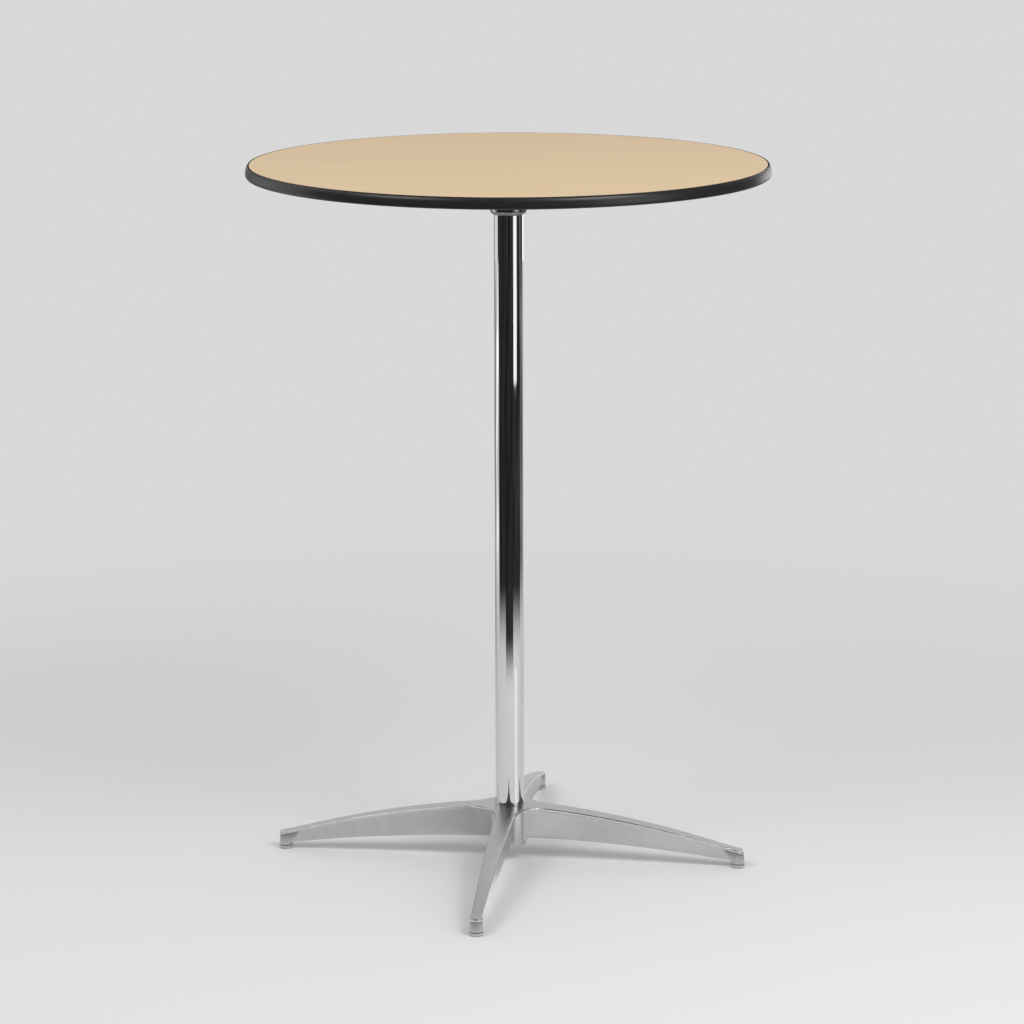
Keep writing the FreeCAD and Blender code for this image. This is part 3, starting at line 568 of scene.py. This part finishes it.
# %% Collar, neck and knob of a stem
COLLAR_FLATS, COLLAR_BOTTOM, COLLAR_BEVEL, COLLAR_CROP = 11 * MM, 4.8 * MM, 0.3 * MM, 1.12
KNOB_RADIUS, KNOB_HEIGHT, KNOB_BEVEL, STEM_NECK = 4.6 * MM, 1.4 * MM, 0.4 * MM, 3 * MM
COLLAR_AROUND, KNOB_AROUND = 120, 48


def collar():
    """Hexagon: half the flats over the cosine of the angle to the nearest flat, cropped by a circle."""
    angle = np.linspace(0, 2 * np.pi, COLLAR_AROUND, endpoint=False)[:, None]
    hexagon = COLLAR_FLATS / 2 / np.cos((angle + np.pi / 6) % (np.pi / 3) - np.pi / 6)
    crop = np.array([0, 1.0, COLLAR_CROP, COLLAR_CROP, 1.0, 0])[None, :] * COLLAR_FLATS / 2
    height = np.array([COLLAR_BOTTOM, COLLAR_BOTTOM, COLLAR_BOTTOM + COLLAR_BEVEL,
                       BOSS_BOTTOM - COLLAR_BEVEL, BOSS_BOTTOM, BOSS_BOTTOM])
    return round_the_axis(np.minimum(hexagon, crop), angle, height)


def stem(node):
    """Thread, collar, neck and knob of one glide, about the axis of its own node."""
    low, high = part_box(node)
    knob_top = low.z + KNOB_HEIGHT
    knob_r = [0, KNOB_RADIUS - KNOB_BEVEL, KNOB_RADIUS, KNOB_RADIUS, STEM_NECK, STEM_NECK, 0]
    knob_z = [low.z, low.z, low.z + KNOB_BEVEL, knob_top, knob_top, COLLAR_BOTTOM, COLLAR_BOTTOM]
    points, faces = joined(thread(high.z), collar(), turned(knob_r, knob_z, steps=KNOB_AROUND))
    return points + [(low.x + high.x) / 2, (low.y + high.y) / 2, 0], faces


print("faces of a stem:", len(stem("glide_stem_front")[1]))

# %% [markdown]
# The four feet are alike, so one loop sets a pad and a stem under each of them. Pads and stems ride on
# bodies of their own: a pad moves up and down with its screw, and the stem also turns.

# %% Glides under the feet
PAD_STEPS = 96
feet = {"right": (1, 0), "back": (0, 1), "left": (-1, 0), "front": (0, -1)}
pads, stems = [], []
for foot, direction in feet.items():
    place = np.array(direction) * FOOT_CIRCLE
    pad = new_piece("glide_" + foot, *turned(*pad_profile().T, steps=PAD_STEPS, centre=place))
    pads.append(stands_for(pad, "glide_pad_" + foot, "pad_" + foot))
    screw = new_piece("stem_" + foot, *stem("glide_stem_" + foot))
    stems.append(stands_for(screw, "glide_stem_" + foot, "stem_" + foot))
print("pads and stems:", len(pads), len(stems))

# %% [markdown]
# The bell under the top and the small steel pieces keep the shapes of the CAD solids. The solid's facets
# would break up the reflections in the bell, so it gets a merged copy of its mesh, with smooth shading
# between its edges.

# %% Bell and spider


def smooth_copy(node, name):
    """A copy of a CAD node's mesh with its doubles merged and smooth shading up to the sharp angle."""
    source = frame["nodes"][node].data
    points = np.zeros(len(source.vertices) * 3, np.float32)
    source.vertices.foreach_get("co", points)
    source.calc_loop_triangles()
    faces = np.zeros(len(source.loop_triangles) * 3, np.int32)
    source.loop_triangles.foreach_get("vertices", faces)
    return stands_for(new_piece(name, points.reshape(-1, 3), faces.reshape(-1, 3)), node)


spider = smooth_copy("top_spider", "spider")
print("spider faces:", len(spider.data.polygons))

# %% [markdown]
# All finishes are node materials on Object coordinates, so they stay on the piece in every view. Nodes
# could be set up one property at a time, but that takes many lines. Here one helper adds a node with its
# settings and links, and another makes a material with its shader.

# %% Nodes and finishes


def node_adder(tree):
    """Function that adds a node: settings go to its options or inputs, links to its sockets."""
    def node(kind, links=None, **settings):
        made = tree.nodes.new(kind)
        for key, value in settings.items():
            if hasattr(made, key):
                setattr(made, key, value)
            else:
                made.inputs[key.replace("_", " ")].default_value = value
        for socket, source in (links or {}).items():
            tree.links.new(source, made.inputs[socket])
        return made
    return node


def new_finish(name, colour, metallic=0.0, roughness=0.4):
    """Material with a Principled shader: its tree, shader, Object coordinates and node adder."""
    material = bpy.data.materials.new(name)
    material.use_nodes = True
    tree = material.node_tree
    shader = tree.nodes["Principled BSDF"]
    shader.inputs["Base Color"].default_value = (*colour, 1)
    shader.inputs["Metallic"].default_value = metallic
    shader.inputs["Roughness"].default_value = roughness
    node = node_adder(tree)
    return material, tree, shader, node("ShaderNodeTexCoord").outputs["Object"], node


def dress(piece, material):
    """Put the material on every slot of the piece."""
    piece.data.materials.clear()
    piece.data.materials.append(material)


print("materials so far:", len(bpy.data.materials))

# %% [markdown]
# Chrome, bare and plated steel, vinyl, moulded plastic, raw plywood and the backing sheet are even
# materials with small variations. One noise pattern is enough for each: it shifts the tone a little, and
# with it the roughness, and on cast metal it also gives a fine relief.

# %% Even finishes
RELIEF_DEPTH = 0.2 * MM


def noise_finish(name, colour, shade, metallic, rough_low, rough_high, scale, bump=0.0):
    """Finish whose colour goes to a shade and whose roughness varies with one noise pattern."""
    material, tree, shader, place, node = new_finish(name, colour, metallic)
    noise = node("ShaderNodeTexNoise", {"Vector": place}, Scale=scale, Detail=4.0).outputs["Fac"]
    tone = node("ShaderNodeMix", {"Factor": noise}, data_type="RGBA", A=(*colour, 1), B=(*shade, 1))
    tree.links.new(tone.outputs["Result"], shader.inputs["Base Color"])
    gloss = node("ShaderNodeMapRange", {"Value": noise}, To_Min=rough_low, To_Max=rough_high)
    tree.links.new(gloss.outputs["Result"], shader.inputs["Roughness"])
    if bump:
        relief = node("ShaderNodeBump", {"Height": noise}, Strength=bump, Distance=RELIEF_DEPTH)
        tree.links.new(relief.outputs["Normal"], shader.inputs["Normal"])
    return material


# Name, colour, shade, metal, lowest and highest roughness, scale, relief
chrome = noise_finish("chrome", (0.74, 0.75, 0.76), (0.70, 0.71, 0.72), 1.0, 0.03, 0.06, 30.0)
aluminium = noise_finish("polished_casting", (0.68, 0.68, 0.685), (0.60, 0.60, 0.605), 1.0, 0.26, 0.36, 60.0,
                         0.15)
# The bell is cast aluminium given a darker tone than the base: painted shade under the top.
shaded_bell_metal = noise_finish("shaded_bell_metal", (0.46, 0.46, 0.465), (0.40, 0.40, 0.405), 1.0, 0.20, 0.26, 60.0,
                          0.05)
vinyl = noise_finish("black_vinyl", (0.012, 0.012, 0.013), (0.018, 0.018, 0.018), 0.0, 0.3, 0.38, 80.0)
zinc = noise_finish("zinc_steel", (0.60, 0.60, 0.61), (0.5, 0.5, 0.52), 1.0, 0.3, 0.45, 120.0)
grey_plastic = noise_finish("grey_moulding", (0.46, 0.46, 0.46), (0.4, 0.4, 0.4), 0.0, 0.4, 0.5, 200.0)
plywood = noise_finish("plywood", (0.62, 0.47, 0.30), (0.5, 0.37, 0.23), 0.0, 0.6, 0.75, 40.0)
backing = noise_finish("backing_sheet", (0.32, 0.24, 0.17), (0.26, 0.19, 0.14), 0.0, 0.5, 0.65, 25.0)
steel = noise_finish("turned_steel", (0.5, 0.5, 0.5), (0.42, 0.42, 0.42), 1.0, 0.3, 0.4, 90.0)
print("even finishes:", len(bpy.data.materials))

# %% [markdown]
# The base is cast aluminium that was ground and then buffed by hand. Its roughness falls from the cast
# skin to the buffed feet with the polish stored on the mesh, and its tone follows the other marks. A fine
# noise roughens the skin, and a coarser one leaves cloudy patches in the tone, as buffing does.

# %% Buffed casting
SKIN_ROUGH, BUFFED_ROUGH = 0.36, 0.12
SKIN_TONE = (0.62, 0.62, 0.625)
# The shade tone is painted shade and painted reflection on the feet.
TONES = {"top": (0.67, 0.67, 0.675), "edge": (0.68, 0.68, 0.685), "foot": (0.56, 0.56, 0.565),
         "shade": (0.3, 0.3, 0.303)}
CLOUD_SCALE, CLOUD_LOW, CLOUD_HIGH = 45.0, 0.88, 1.08
GRAIN_SCALE, PIT_DEPTH, PITLESS_POLISH = 900.0, 0.04 * MM, 0.6


def buffed_casting():
    """Metal whose roughness follows the polish and whose tone follows the marks, with two noises."""
    material, tree, shader, place, node = new_finish("buffed_casting", SKIN_TONE, 1.0)
    polish = node("ShaderNodeAttribute", attribute_name="polish").outputs["Fac"]
    clouds = node("ShaderNodeTexNoise", {"Vector": place}, Scale=CLOUD_SCALE, Detail=3.0).outputs["Fac"]
    grain = node("ShaderNodeTexNoise", {"Vector": place}, Scale=GRAIN_SCALE, Detail=2.0).outputs["Fac"]
    tone = None
    for mark, colour in TONES.items():
        links = {"Factor": node("ShaderNodeAttribute", attribute_name=mark).outputs["Fac"]}
        if tone:
            links["A"] = tone.outputs["Result"]
        tone = node("ShaderNodeMix", links, data_type="RGBA", A=(*SKIN_TONE, 1), B=(*colour, 1))
    patch = node("ShaderNodeMapRange", {"Value": clouds},
                 To_Min=CLOUD_LOW, To_Max=CLOUD_HIGH).outputs["Result"]
    shaded = node("ShaderNodeVectorMath", {0: tone.outputs["Result"], "Scale": patch}, operation="SCALE")
    tree.links.new(shaded.outputs["Vector"], shader.inputs["Base Color"])
    smooth = node("ShaderNodeMapRange", {"Value": polish}, To_Min=SKIN_ROUGH, To_Max=BUFFED_ROUGH)
    uneven = node("ShaderNodeMath", {0: smooth.outputs["Result"], 1: patch}, operation="MULTIPLY")
    tree.links.new(uneven.outputs["Value"], shader.inputs["Roughness"])
    pits = node("ShaderNodeMapRange", {"Value": polish}, From_Max=PITLESS_POLISH, To_Min=1.0, To_Max=0.0)
    relief = node("ShaderNodeBump", {"Height": grain, "Strength": pits.outputs["Result"]},
                  Distance=PIT_DEPTH)
    tree.links.new(relief.outputs["Normal"], shader.inputs["Normal"])
    return material


casting = buffed_casting()
print("nodes of the casting's finish:", len(casting.node_tree.nodes))

# %% [markdown]
# The lip of the bell beside the column is painted darker: painted shade under the top. It needs no
# marks on the mesh, because the lip is level: a factor that rises with the height above the lip is
# multiplied into the tone.

# %% Painted shade at the lip of the bell
LIP_SHADE_TONE, LIP_REACH = 0.2, 7.5 * MM


def paint_lip_shade(material, lip):
    """Painted shade: scale the tone by a factor that goes from the lip's shade to one over the reach above
    the lip.
    """
    tree = material.node_tree
    node = node_adder(tree)
    tone = tree.nodes["Principled BSDF"].inputs["Base Color"]
    place = node("ShaderNodeTexCoord").outputs["Object"]
    height = node("ShaderNodeSeparateXYZ", {"Vector": place}).outputs["Z"]
    rise = node("ShaderNodeMapRange", {"Value": height},
                From_Min=lip, From_Max=lip + LIP_REACH, To_Min=LIP_SHADE_TONE)
    scaled = node("ShaderNodeVectorMath", {0: tone.links[0].from_socket, "Scale": rise.outputs["Result"]},
                  operation="SCALE")
    tree.links.new(scaled.outputs["Vector"], tone)


lip_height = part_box("top_spider")[0].z
paint_lip_shade(shaded_bell_metal, lip_height)
print("lip of the bell at", round(lip_height, 4))

# %% [markdown]
# The face of the top is a pale wood sheet under a clear coat. Its grain is very quiet: long soft streaks
# along X, made by stretching a noise pattern, with a second, finer one for the pores. A Wave texture
# would draw regular rings, which this sheet doesn't show.

# %% Wood face
WOOD_LIGHT, WOOD_DARK = (0.72, 0.535, 0.32), (0.67, 0.49, 0.28)
WOOD_ROUGH, WOOD_SPECULAR = 0.42, 0.2
GRAIN_STRETCH, PORE_STRETCH = (1.2, 14.0, 1.0), (14.0, 420.0, 1.0)
PORE_LOW, PORE_HIGH = 0.97, 1.03


def wood_finish():
    """Pale wood: broad stretched noise mixed between two tones, fine stretched noise for the pores."""
    material, tree, shader, place, node = new_finish("wood_face", WOOD_LIGHT, 0.0, WOOD_ROUGH)
    along = node("ShaderNodeMapping", {"Vector": place}, Scale=GRAIN_STRETCH).outputs["Vector"]
    broad = node("ShaderNodeTexNoise", {"Vector": along}, Scale=2.0, Detail=6.0).outputs["Fac"]
    tone = node("ShaderNodeMix", {"Factor": broad}, data_type="RGBA", A=(*WOOD_LIGHT, 1), B=(*WOOD_DARK, 1))
    fine = node("ShaderNodeMapping", {"Vector": place}, Scale=PORE_STRETCH).outputs["Vector"]
    pores = node("ShaderNodeTexNoise", {"Vector": fine}, Scale=1.0, Detail=3.0).outputs["Fac"]
    depth = node("ShaderNodeMapRange", {"Value": pores}, To_Min=PORE_LOW, To_Max=PORE_HIGH).outputs["Result"]
    shaded = node("ShaderNodeVectorMath", {0: tone.outputs["Result"], "Scale": depth}, operation="SCALE")
    tree.links.new(shaded.outputs["Vector"], shader.inputs["Base Color"])
    shader.inputs["Specular IOR Level"].default_value = WOOD_SPECULAR
    return material


wood = wood_finish()
print("nodes of the wood's finish:", len(wood.node_tree.nodes))

# %% [markdown]
# The record gives each node a material slot, so one table from slot to finish dresses the CAD nodes and
# the new pieces alike. The base and the bell are castings with finishes of their own and come last.

# %% Finishes on the pieces
finish_of_slot = {
    "veneer": wood, "plywood": plywood, "backing": backing, "vinyl": vinyl, "cast_aluminium": aluminium,
    "chrome_tube": chrome, "plain_steel": steel, "zinc_steel": zinc, "glide_plastic": grey_plastic}
for node_name, slot in slot_of_node.items():
    dress(frame["nodes"][node_name], finish_of_slot[slot])
for piece in (column, edge_strip, *pads, *stems):
    dress(piece, finish_of_slot[piece["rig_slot"]])
dress(base, casting)
dress(spider, shaded_bell_metal)
print("dressed nodes:", len(slot_of_node))

# %% [markdown]
# The camera stands where the photographer stood. Its place and lens were worked out from the ellipse of
# the top, the column and the four feet. It could follow a target with a constraint, but three plain turns
# keep it exactly there: the tilt down, the bearing round the table and a trace of roll.

# %% Camera
CAMERA_PLACE = (0.6904, -4.9122, 1.6848)
LENS, SENSOR = 119.49, 36
PITCH_DOWN, TURN, ROLL = 12.968, 8.0, -0.1352
SHIFT_X = 0.00273
camera_data = bpy.data.cameras.new("camera")
camera_data.lens = LENS
camera_data.sensor_width = SENSOR
camera_data.shift_x = SHIFT_X
camera = bpy.data.objects.new("camera", camera_data)
bpy.context.scene.collection.objects.link(camera)
camera.matrix_world = (Matrix.Translation(CAMERA_PLACE) @ Matrix.Rotation(math.radians(TURN), 4, "Z")
                       @ Matrix.Rotation(math.radians(90 - PITCH_DOWN), 4, "X")
                       @ Matrix.Rotation(math.radians(ROLL), 4, "Z"))
bpy.context.scene.camera = camera
print("camera distance", round(math.dist(CAMERA_PLACE, (0, 0, 0)), 3))

# %% [markdown]
# The studio floor is wide, matt and pale, and takes the shadow of the table. Further out it goes over to
# an even tone, as a lit backdrop does, and at its edge to the tone of the world, so that no horizon
# shows. The even tone glows for camera, mirror and glass rays only, so it throws no light on the table.

# %% Pale floor
FLOOR_TONE, FLOOR_ROUGH, FLOOR_REACH = 0.77, 0.9, 40.0
FAR_TONE, FAR_START, FAR_FULL = 0.69, 0.4, 2.6
WORLD_LEVEL, EDGE_START = 0.62, 18.0


def floor_finish():
    """Matt pale grey; with distance it goes over to an even tone that only camera and mirror rays see."""
    material, tree, shader, place, node = new_finish("studio_floor", (FLOOR_TONE,) * 3, 0.0, FLOOR_ROUGH)
    shader.inputs["Specular IOR Level"].default_value = 0.0
    rays = node("ShaderNodeLightPath").outputs
    seen = node("ShaderNodeMath", {0: rays["Is Camera Ray"], 1: rays["Is Glossy Ray"]}, operation="MAXIMUM")
    seen = node("ShaderNodeMath", {0: seen.outputs["Value"], 1: rays["Is Transmission Ray"]},
                operation="MAXIMUM")
    away = node("ShaderNodeVectorMath", {0: place}, operation="LENGTH").outputs["Value"]
    far = node("ShaderNodeMapRange", {"Value": away}, interpolation_type="SMOOTHSTEP",
               From_Min=FAR_START, From_Max=FAR_FULL)
    share = node("ShaderNodeMath", {0: far.outputs["Result"], 1: seen.outputs["Value"]},
                 operation="MULTIPLY")
    level = node("ShaderNodeMapRange", {"Value": away}, interpolation_type="SMOOTHSTEP",
                 From_Min=EDGE_START, From_Max=FLOOR_REACH, To_Min=FAR_TONE, To_Max=WORLD_LEVEL)
    glow = node("ShaderNodeEmission", {"Strength": level.outputs["Result"]})
    mix = node("ShaderNodeMixShader", {0: share.outputs["Value"], 1: shader.outputs["BSDF"],
                                       2: glow.outputs["Emission"]})
    tree.links.new(mix.outputs["Shader"], tree.nodes["Material Output"].inputs["Surface"])
    return material


corners = FLOOR_REACH * np.array([[-1, -1, 0], [1, -1, 0], [1, 1, 0], [-1, 1, 0]], float)
floor = new_piece("floor", corners, np.array([[0, 1, 2, 3]]))
dress(floor, floor_finish())
print("floor reaches", FLOOR_REACH, "m")

# %% [markdown]
# A chrome column shows the whole room, so the room needs a shape. A photographer gives it one with black
# flags, pale cards and cloths out of the camera's sight. Here they are painted reflections instead: glowing
# pieces of the stage that only reflections see, so they throw no shade and hide nothing from other views.
# Their finish is an even glow with faint upright folds, and a cloth becomes clear towards the table.

# %% Finish of flags, cards and cloths
FOLD_SCALE, FOLD_LOW, FOLD_HIGH = 0.55, 0.4, 0.7
FOLD_DARK, FOLD_LIGHT = 0.6, 1.6


def flag_finish(name, level, folds, fade=None):
    """Screen of an even level with upright folds; a fade, from a distance over a width, clears it."""
    material = bpy.data.materials.new(name)
    material.use_nodes = True
    tree = material.node_tree
    tree.nodes.clear()
    node = node_adder(tree)
    place = node("ShaderNodeTexCoord").outputs["Object"]
    upright = node("ShaderNodeMapping", {"Vector": place}, Scale=(1.0, 1.0, 0.0)).outputs["Vector"]
    noise = node("ShaderNodeTexNoise", {"Vector": upright}, Scale=FOLD_SCALE, Detail=1.0).outputs["Fac"]
    tone = node("ShaderNodeMapRange", {"Value": noise}, From_Min=FOLD_LOW, From_Max=FOLD_HIGH,
                To_Min=level * (1 - FOLD_DARK * folds), To_Max=level * (1 + FOLD_LIGHT * folds))
    look = node("ShaderNodeEmission", {"Strength": tone.outputs["Result"]}).outputs["Emission"]
    if fade:
        away = node("ShaderNodeVectorMath", {0: place}, operation="LENGTH").outputs["Value"]
        share = node("ShaderNodeMapRange", {"Value": away}, interpolation_type="SMOOTHSTEP",
                     From_Min=fade[0], From_Max=fade[0] + fade[1]).outputs["Result"]
        clear = node("ShaderNodeBsdfTransparent").outputs["BSDF"]
        look = node("ShaderNodeMixShader", {0: share, 1: clear, 2: look}).outputs["Shader"]
    node("ShaderNodeOutputMaterial", {"Surface": look})
    return material


def reflected_only(piece):
    """Let only mirror and gloss rays see a piece of the stage."""
    piece.visible_camera = False
    piece.visible_diffuse = False
    piece.visible_shadow = False
    piece.visible_transmission = False


print("fold tones run from", 1 - FOLD_DARK, "to", 1 + FOLD_LIGHT, "times the level")

# %% [markdown]
# The flags and cards are parts of one dome round the table. Bearings are counted from the front towards
# the right, as seen from above. The wide black flag in front makes the column's dark band, and the pale
# cards make the bright lines beside it.

# %% Flags and cards
FLAG_RADIUS, FLAG_TOP = 6.0, 75.0
FLAG_ACROSS, FLAG_UP = 40, 24
# Name, first and last bearing, level, folds, lowest and highest angle above the floor
FLAGS = (
    ("flag_front", -86, 103, 0.022, 1.0, 0, FLAG_TOP),
    ("flag_right", 103, 145, 0.13, 1.0, 0, FLAG_TOP),
    ("flag_left", -152, -119, 0.28, 1.0, 0, FLAG_TOP),
    ("card_left", -119, -86, 0.86, 0.05, 0, FLAG_TOP),
    # The back card glows almost twice as bright as white: a painted highlight along the right edge of the
    # front leg.
    ("card_back", 148, 168, 1.9, 0.05, -3, 16),
)


def round_the_table(bearing, distance, height):
    """Points at a bearing b and a distance d: x = d sin b, y = -d cos b, with the height as z."""
    angle = np.radians(bearing)
    x, y = distance * np.sin(angle), -distance * np.cos(angle)
    return np.stack(np.broadcast_arrays(x, y, height), axis=-1)


def flag(name, start, end, level, folds, low, high):
    """Part of a dome: bearing along one parameter, angle above the floor along the other."""
    bearing = np.linspace(start, end, FLAG_ACROSS)[:, None]
    rise = np.radians(np.linspace(low, high, FLAG_UP))[None, :]
    points = round_the_table(bearing, FLAG_RADIUS * np.cos(rise), FLAG_RADIUS * np.sin(rise))
    piece = new_piece(name, points.reshape(-1, 3), grid_faces(FLAG_ACROSS, FLAG_UP))
    dress(piece, flag_finish(name, level, folds))
    reflected_only(piece)


for row in FLAGS:
    flag(*row)
print("flags and cards:", len(FLAGS))

# %% [markdown]
# Cloths and pale sheets lie just above the floor and go on from the flags towards the table. The low part
# of the column, the flanks of the legs and their edges reflect them. Three are painted light that only
# reflections see: a painted pool of light from the strip on the right, and a painted lit patch and a
# painted shaded patch of floor beside the hub.

# %% Cloths and sheets
CLOTH_FOLDS = 0.5
# Name, first and last bearing, level, near edge, width of the fade, far edge, height
CLOTHS = (
    ("cloth_front", -78, 103, 0.024, 1.15, 0.6, FLAG_RADIUS, 0.5 * MM),
    ("cloth_middle", -20, 38, 0.024, 0.95, 0.4, FLAG_RADIUS, 1 * MM),
    ("cloth_right", 103, 145, 0.16, 1.3, 0.8, FLAG_RADIUS, 0.5 * MM),
    ("cloth_left", -152, -112, 0.28, 0.7, 1.0, FLAG_RADIUS, 0.5 * MM),
    ("sheet_left", -112, -78, 0.86, 1.6, 0.8, FLAG_RADIUS, 0.5 * MM),
    ("sheet_right", 50, 74, 0.84, 0.15, 0.2, 1.1, 1.5 * MM),
    ("sheet_near", 3, 24, 0.82, 0.06, 0.08, 0.28, 1.5 * MM),
    ("cloth_near", -40, -8, 0.3, 0.04, 0.04, 0.3, 1.5 * MM),
)


def floor_cloth(name, start, end, level, near, fade, far, height):
    """Cloth just above the floor: bearing along one parameter, distance along the other."""
    bearing = np.linspace(start, end, FLAG_ACROSS)[:, None]
    points = round_the_table(bearing, np.array([[near, far]]), height)
    piece = new_piece(name, points.reshape(-1, 3), grid_faces(FLAG_ACROSS, 2))
    dress(piece, flag_finish(name, level, CLOTH_FOLDS, (near, fade)))
    reflected_only(piece)


for row in CLOTHS:
    floor_cloth(*row)
print("cloths and sheets:", len(CLOTHS))

# %% [markdown]
# The light is that of a plain studio: an even pale world, a soft box high on each side of the camera, and
# an upright strip on the right, which draws the bright line down the column. Area lamps give soft shadows
# without further work. The camera doesn't see the lamps themselves.

# %% World and lamps
# Name, bearing, distance, height, height aimed at, width, length, watts
LAMPS = (
    ("left_box", -45, 2.6, 3.2, 0.3, 1.5, 1.5, 30),
    ("right_box", 50, 2.6, 3.2, 0.3, 1.5, 1.5, 45),
    ("right_strip", 58.5, 2.0, 1.13, 1.13, 0.98, 1.54, 5.7),
)
world = bpy.data.worlds.new("studio")
bpy.context.scene.world = world
world.use_nodes = True
background = world.node_tree.nodes["Background"]
background.inputs["Color"].default_value = (WORLD_LEVEL, WORLD_LEVEL, WORLD_LEVEL, 1)


def soft_box(name, bearing, distance, height, aim, width, length, power):
    """Rectangular lamp at a place round the table, facing a point of the column's axis."""
    data = bpy.data.lights.new(name, "AREA")
    data.shape = "RECTANGLE"
    data.size, data.size_y = width, length
    data.energy = power
    lamp = bpy.data.objects.new(name, data)
    bpy.context.scene.collection.objects.link(lamp)
    lamp.location = round_the_table(bearing, distance, height)
    lamp.rotation_euler = (Vector((0, 0, aim)) - lamp.location).to_track_quat("-Z", "Y").to_euler()
    lamp.visible_camera = False
    print(name, power, "W")


for row in LAMPS:
    soft_box(*row)

# %% [markdown]
# Last comes the view. The Standard view shows a colour about as it is written.

bpy.context.scene.view_settings.view_transform = "Standard"
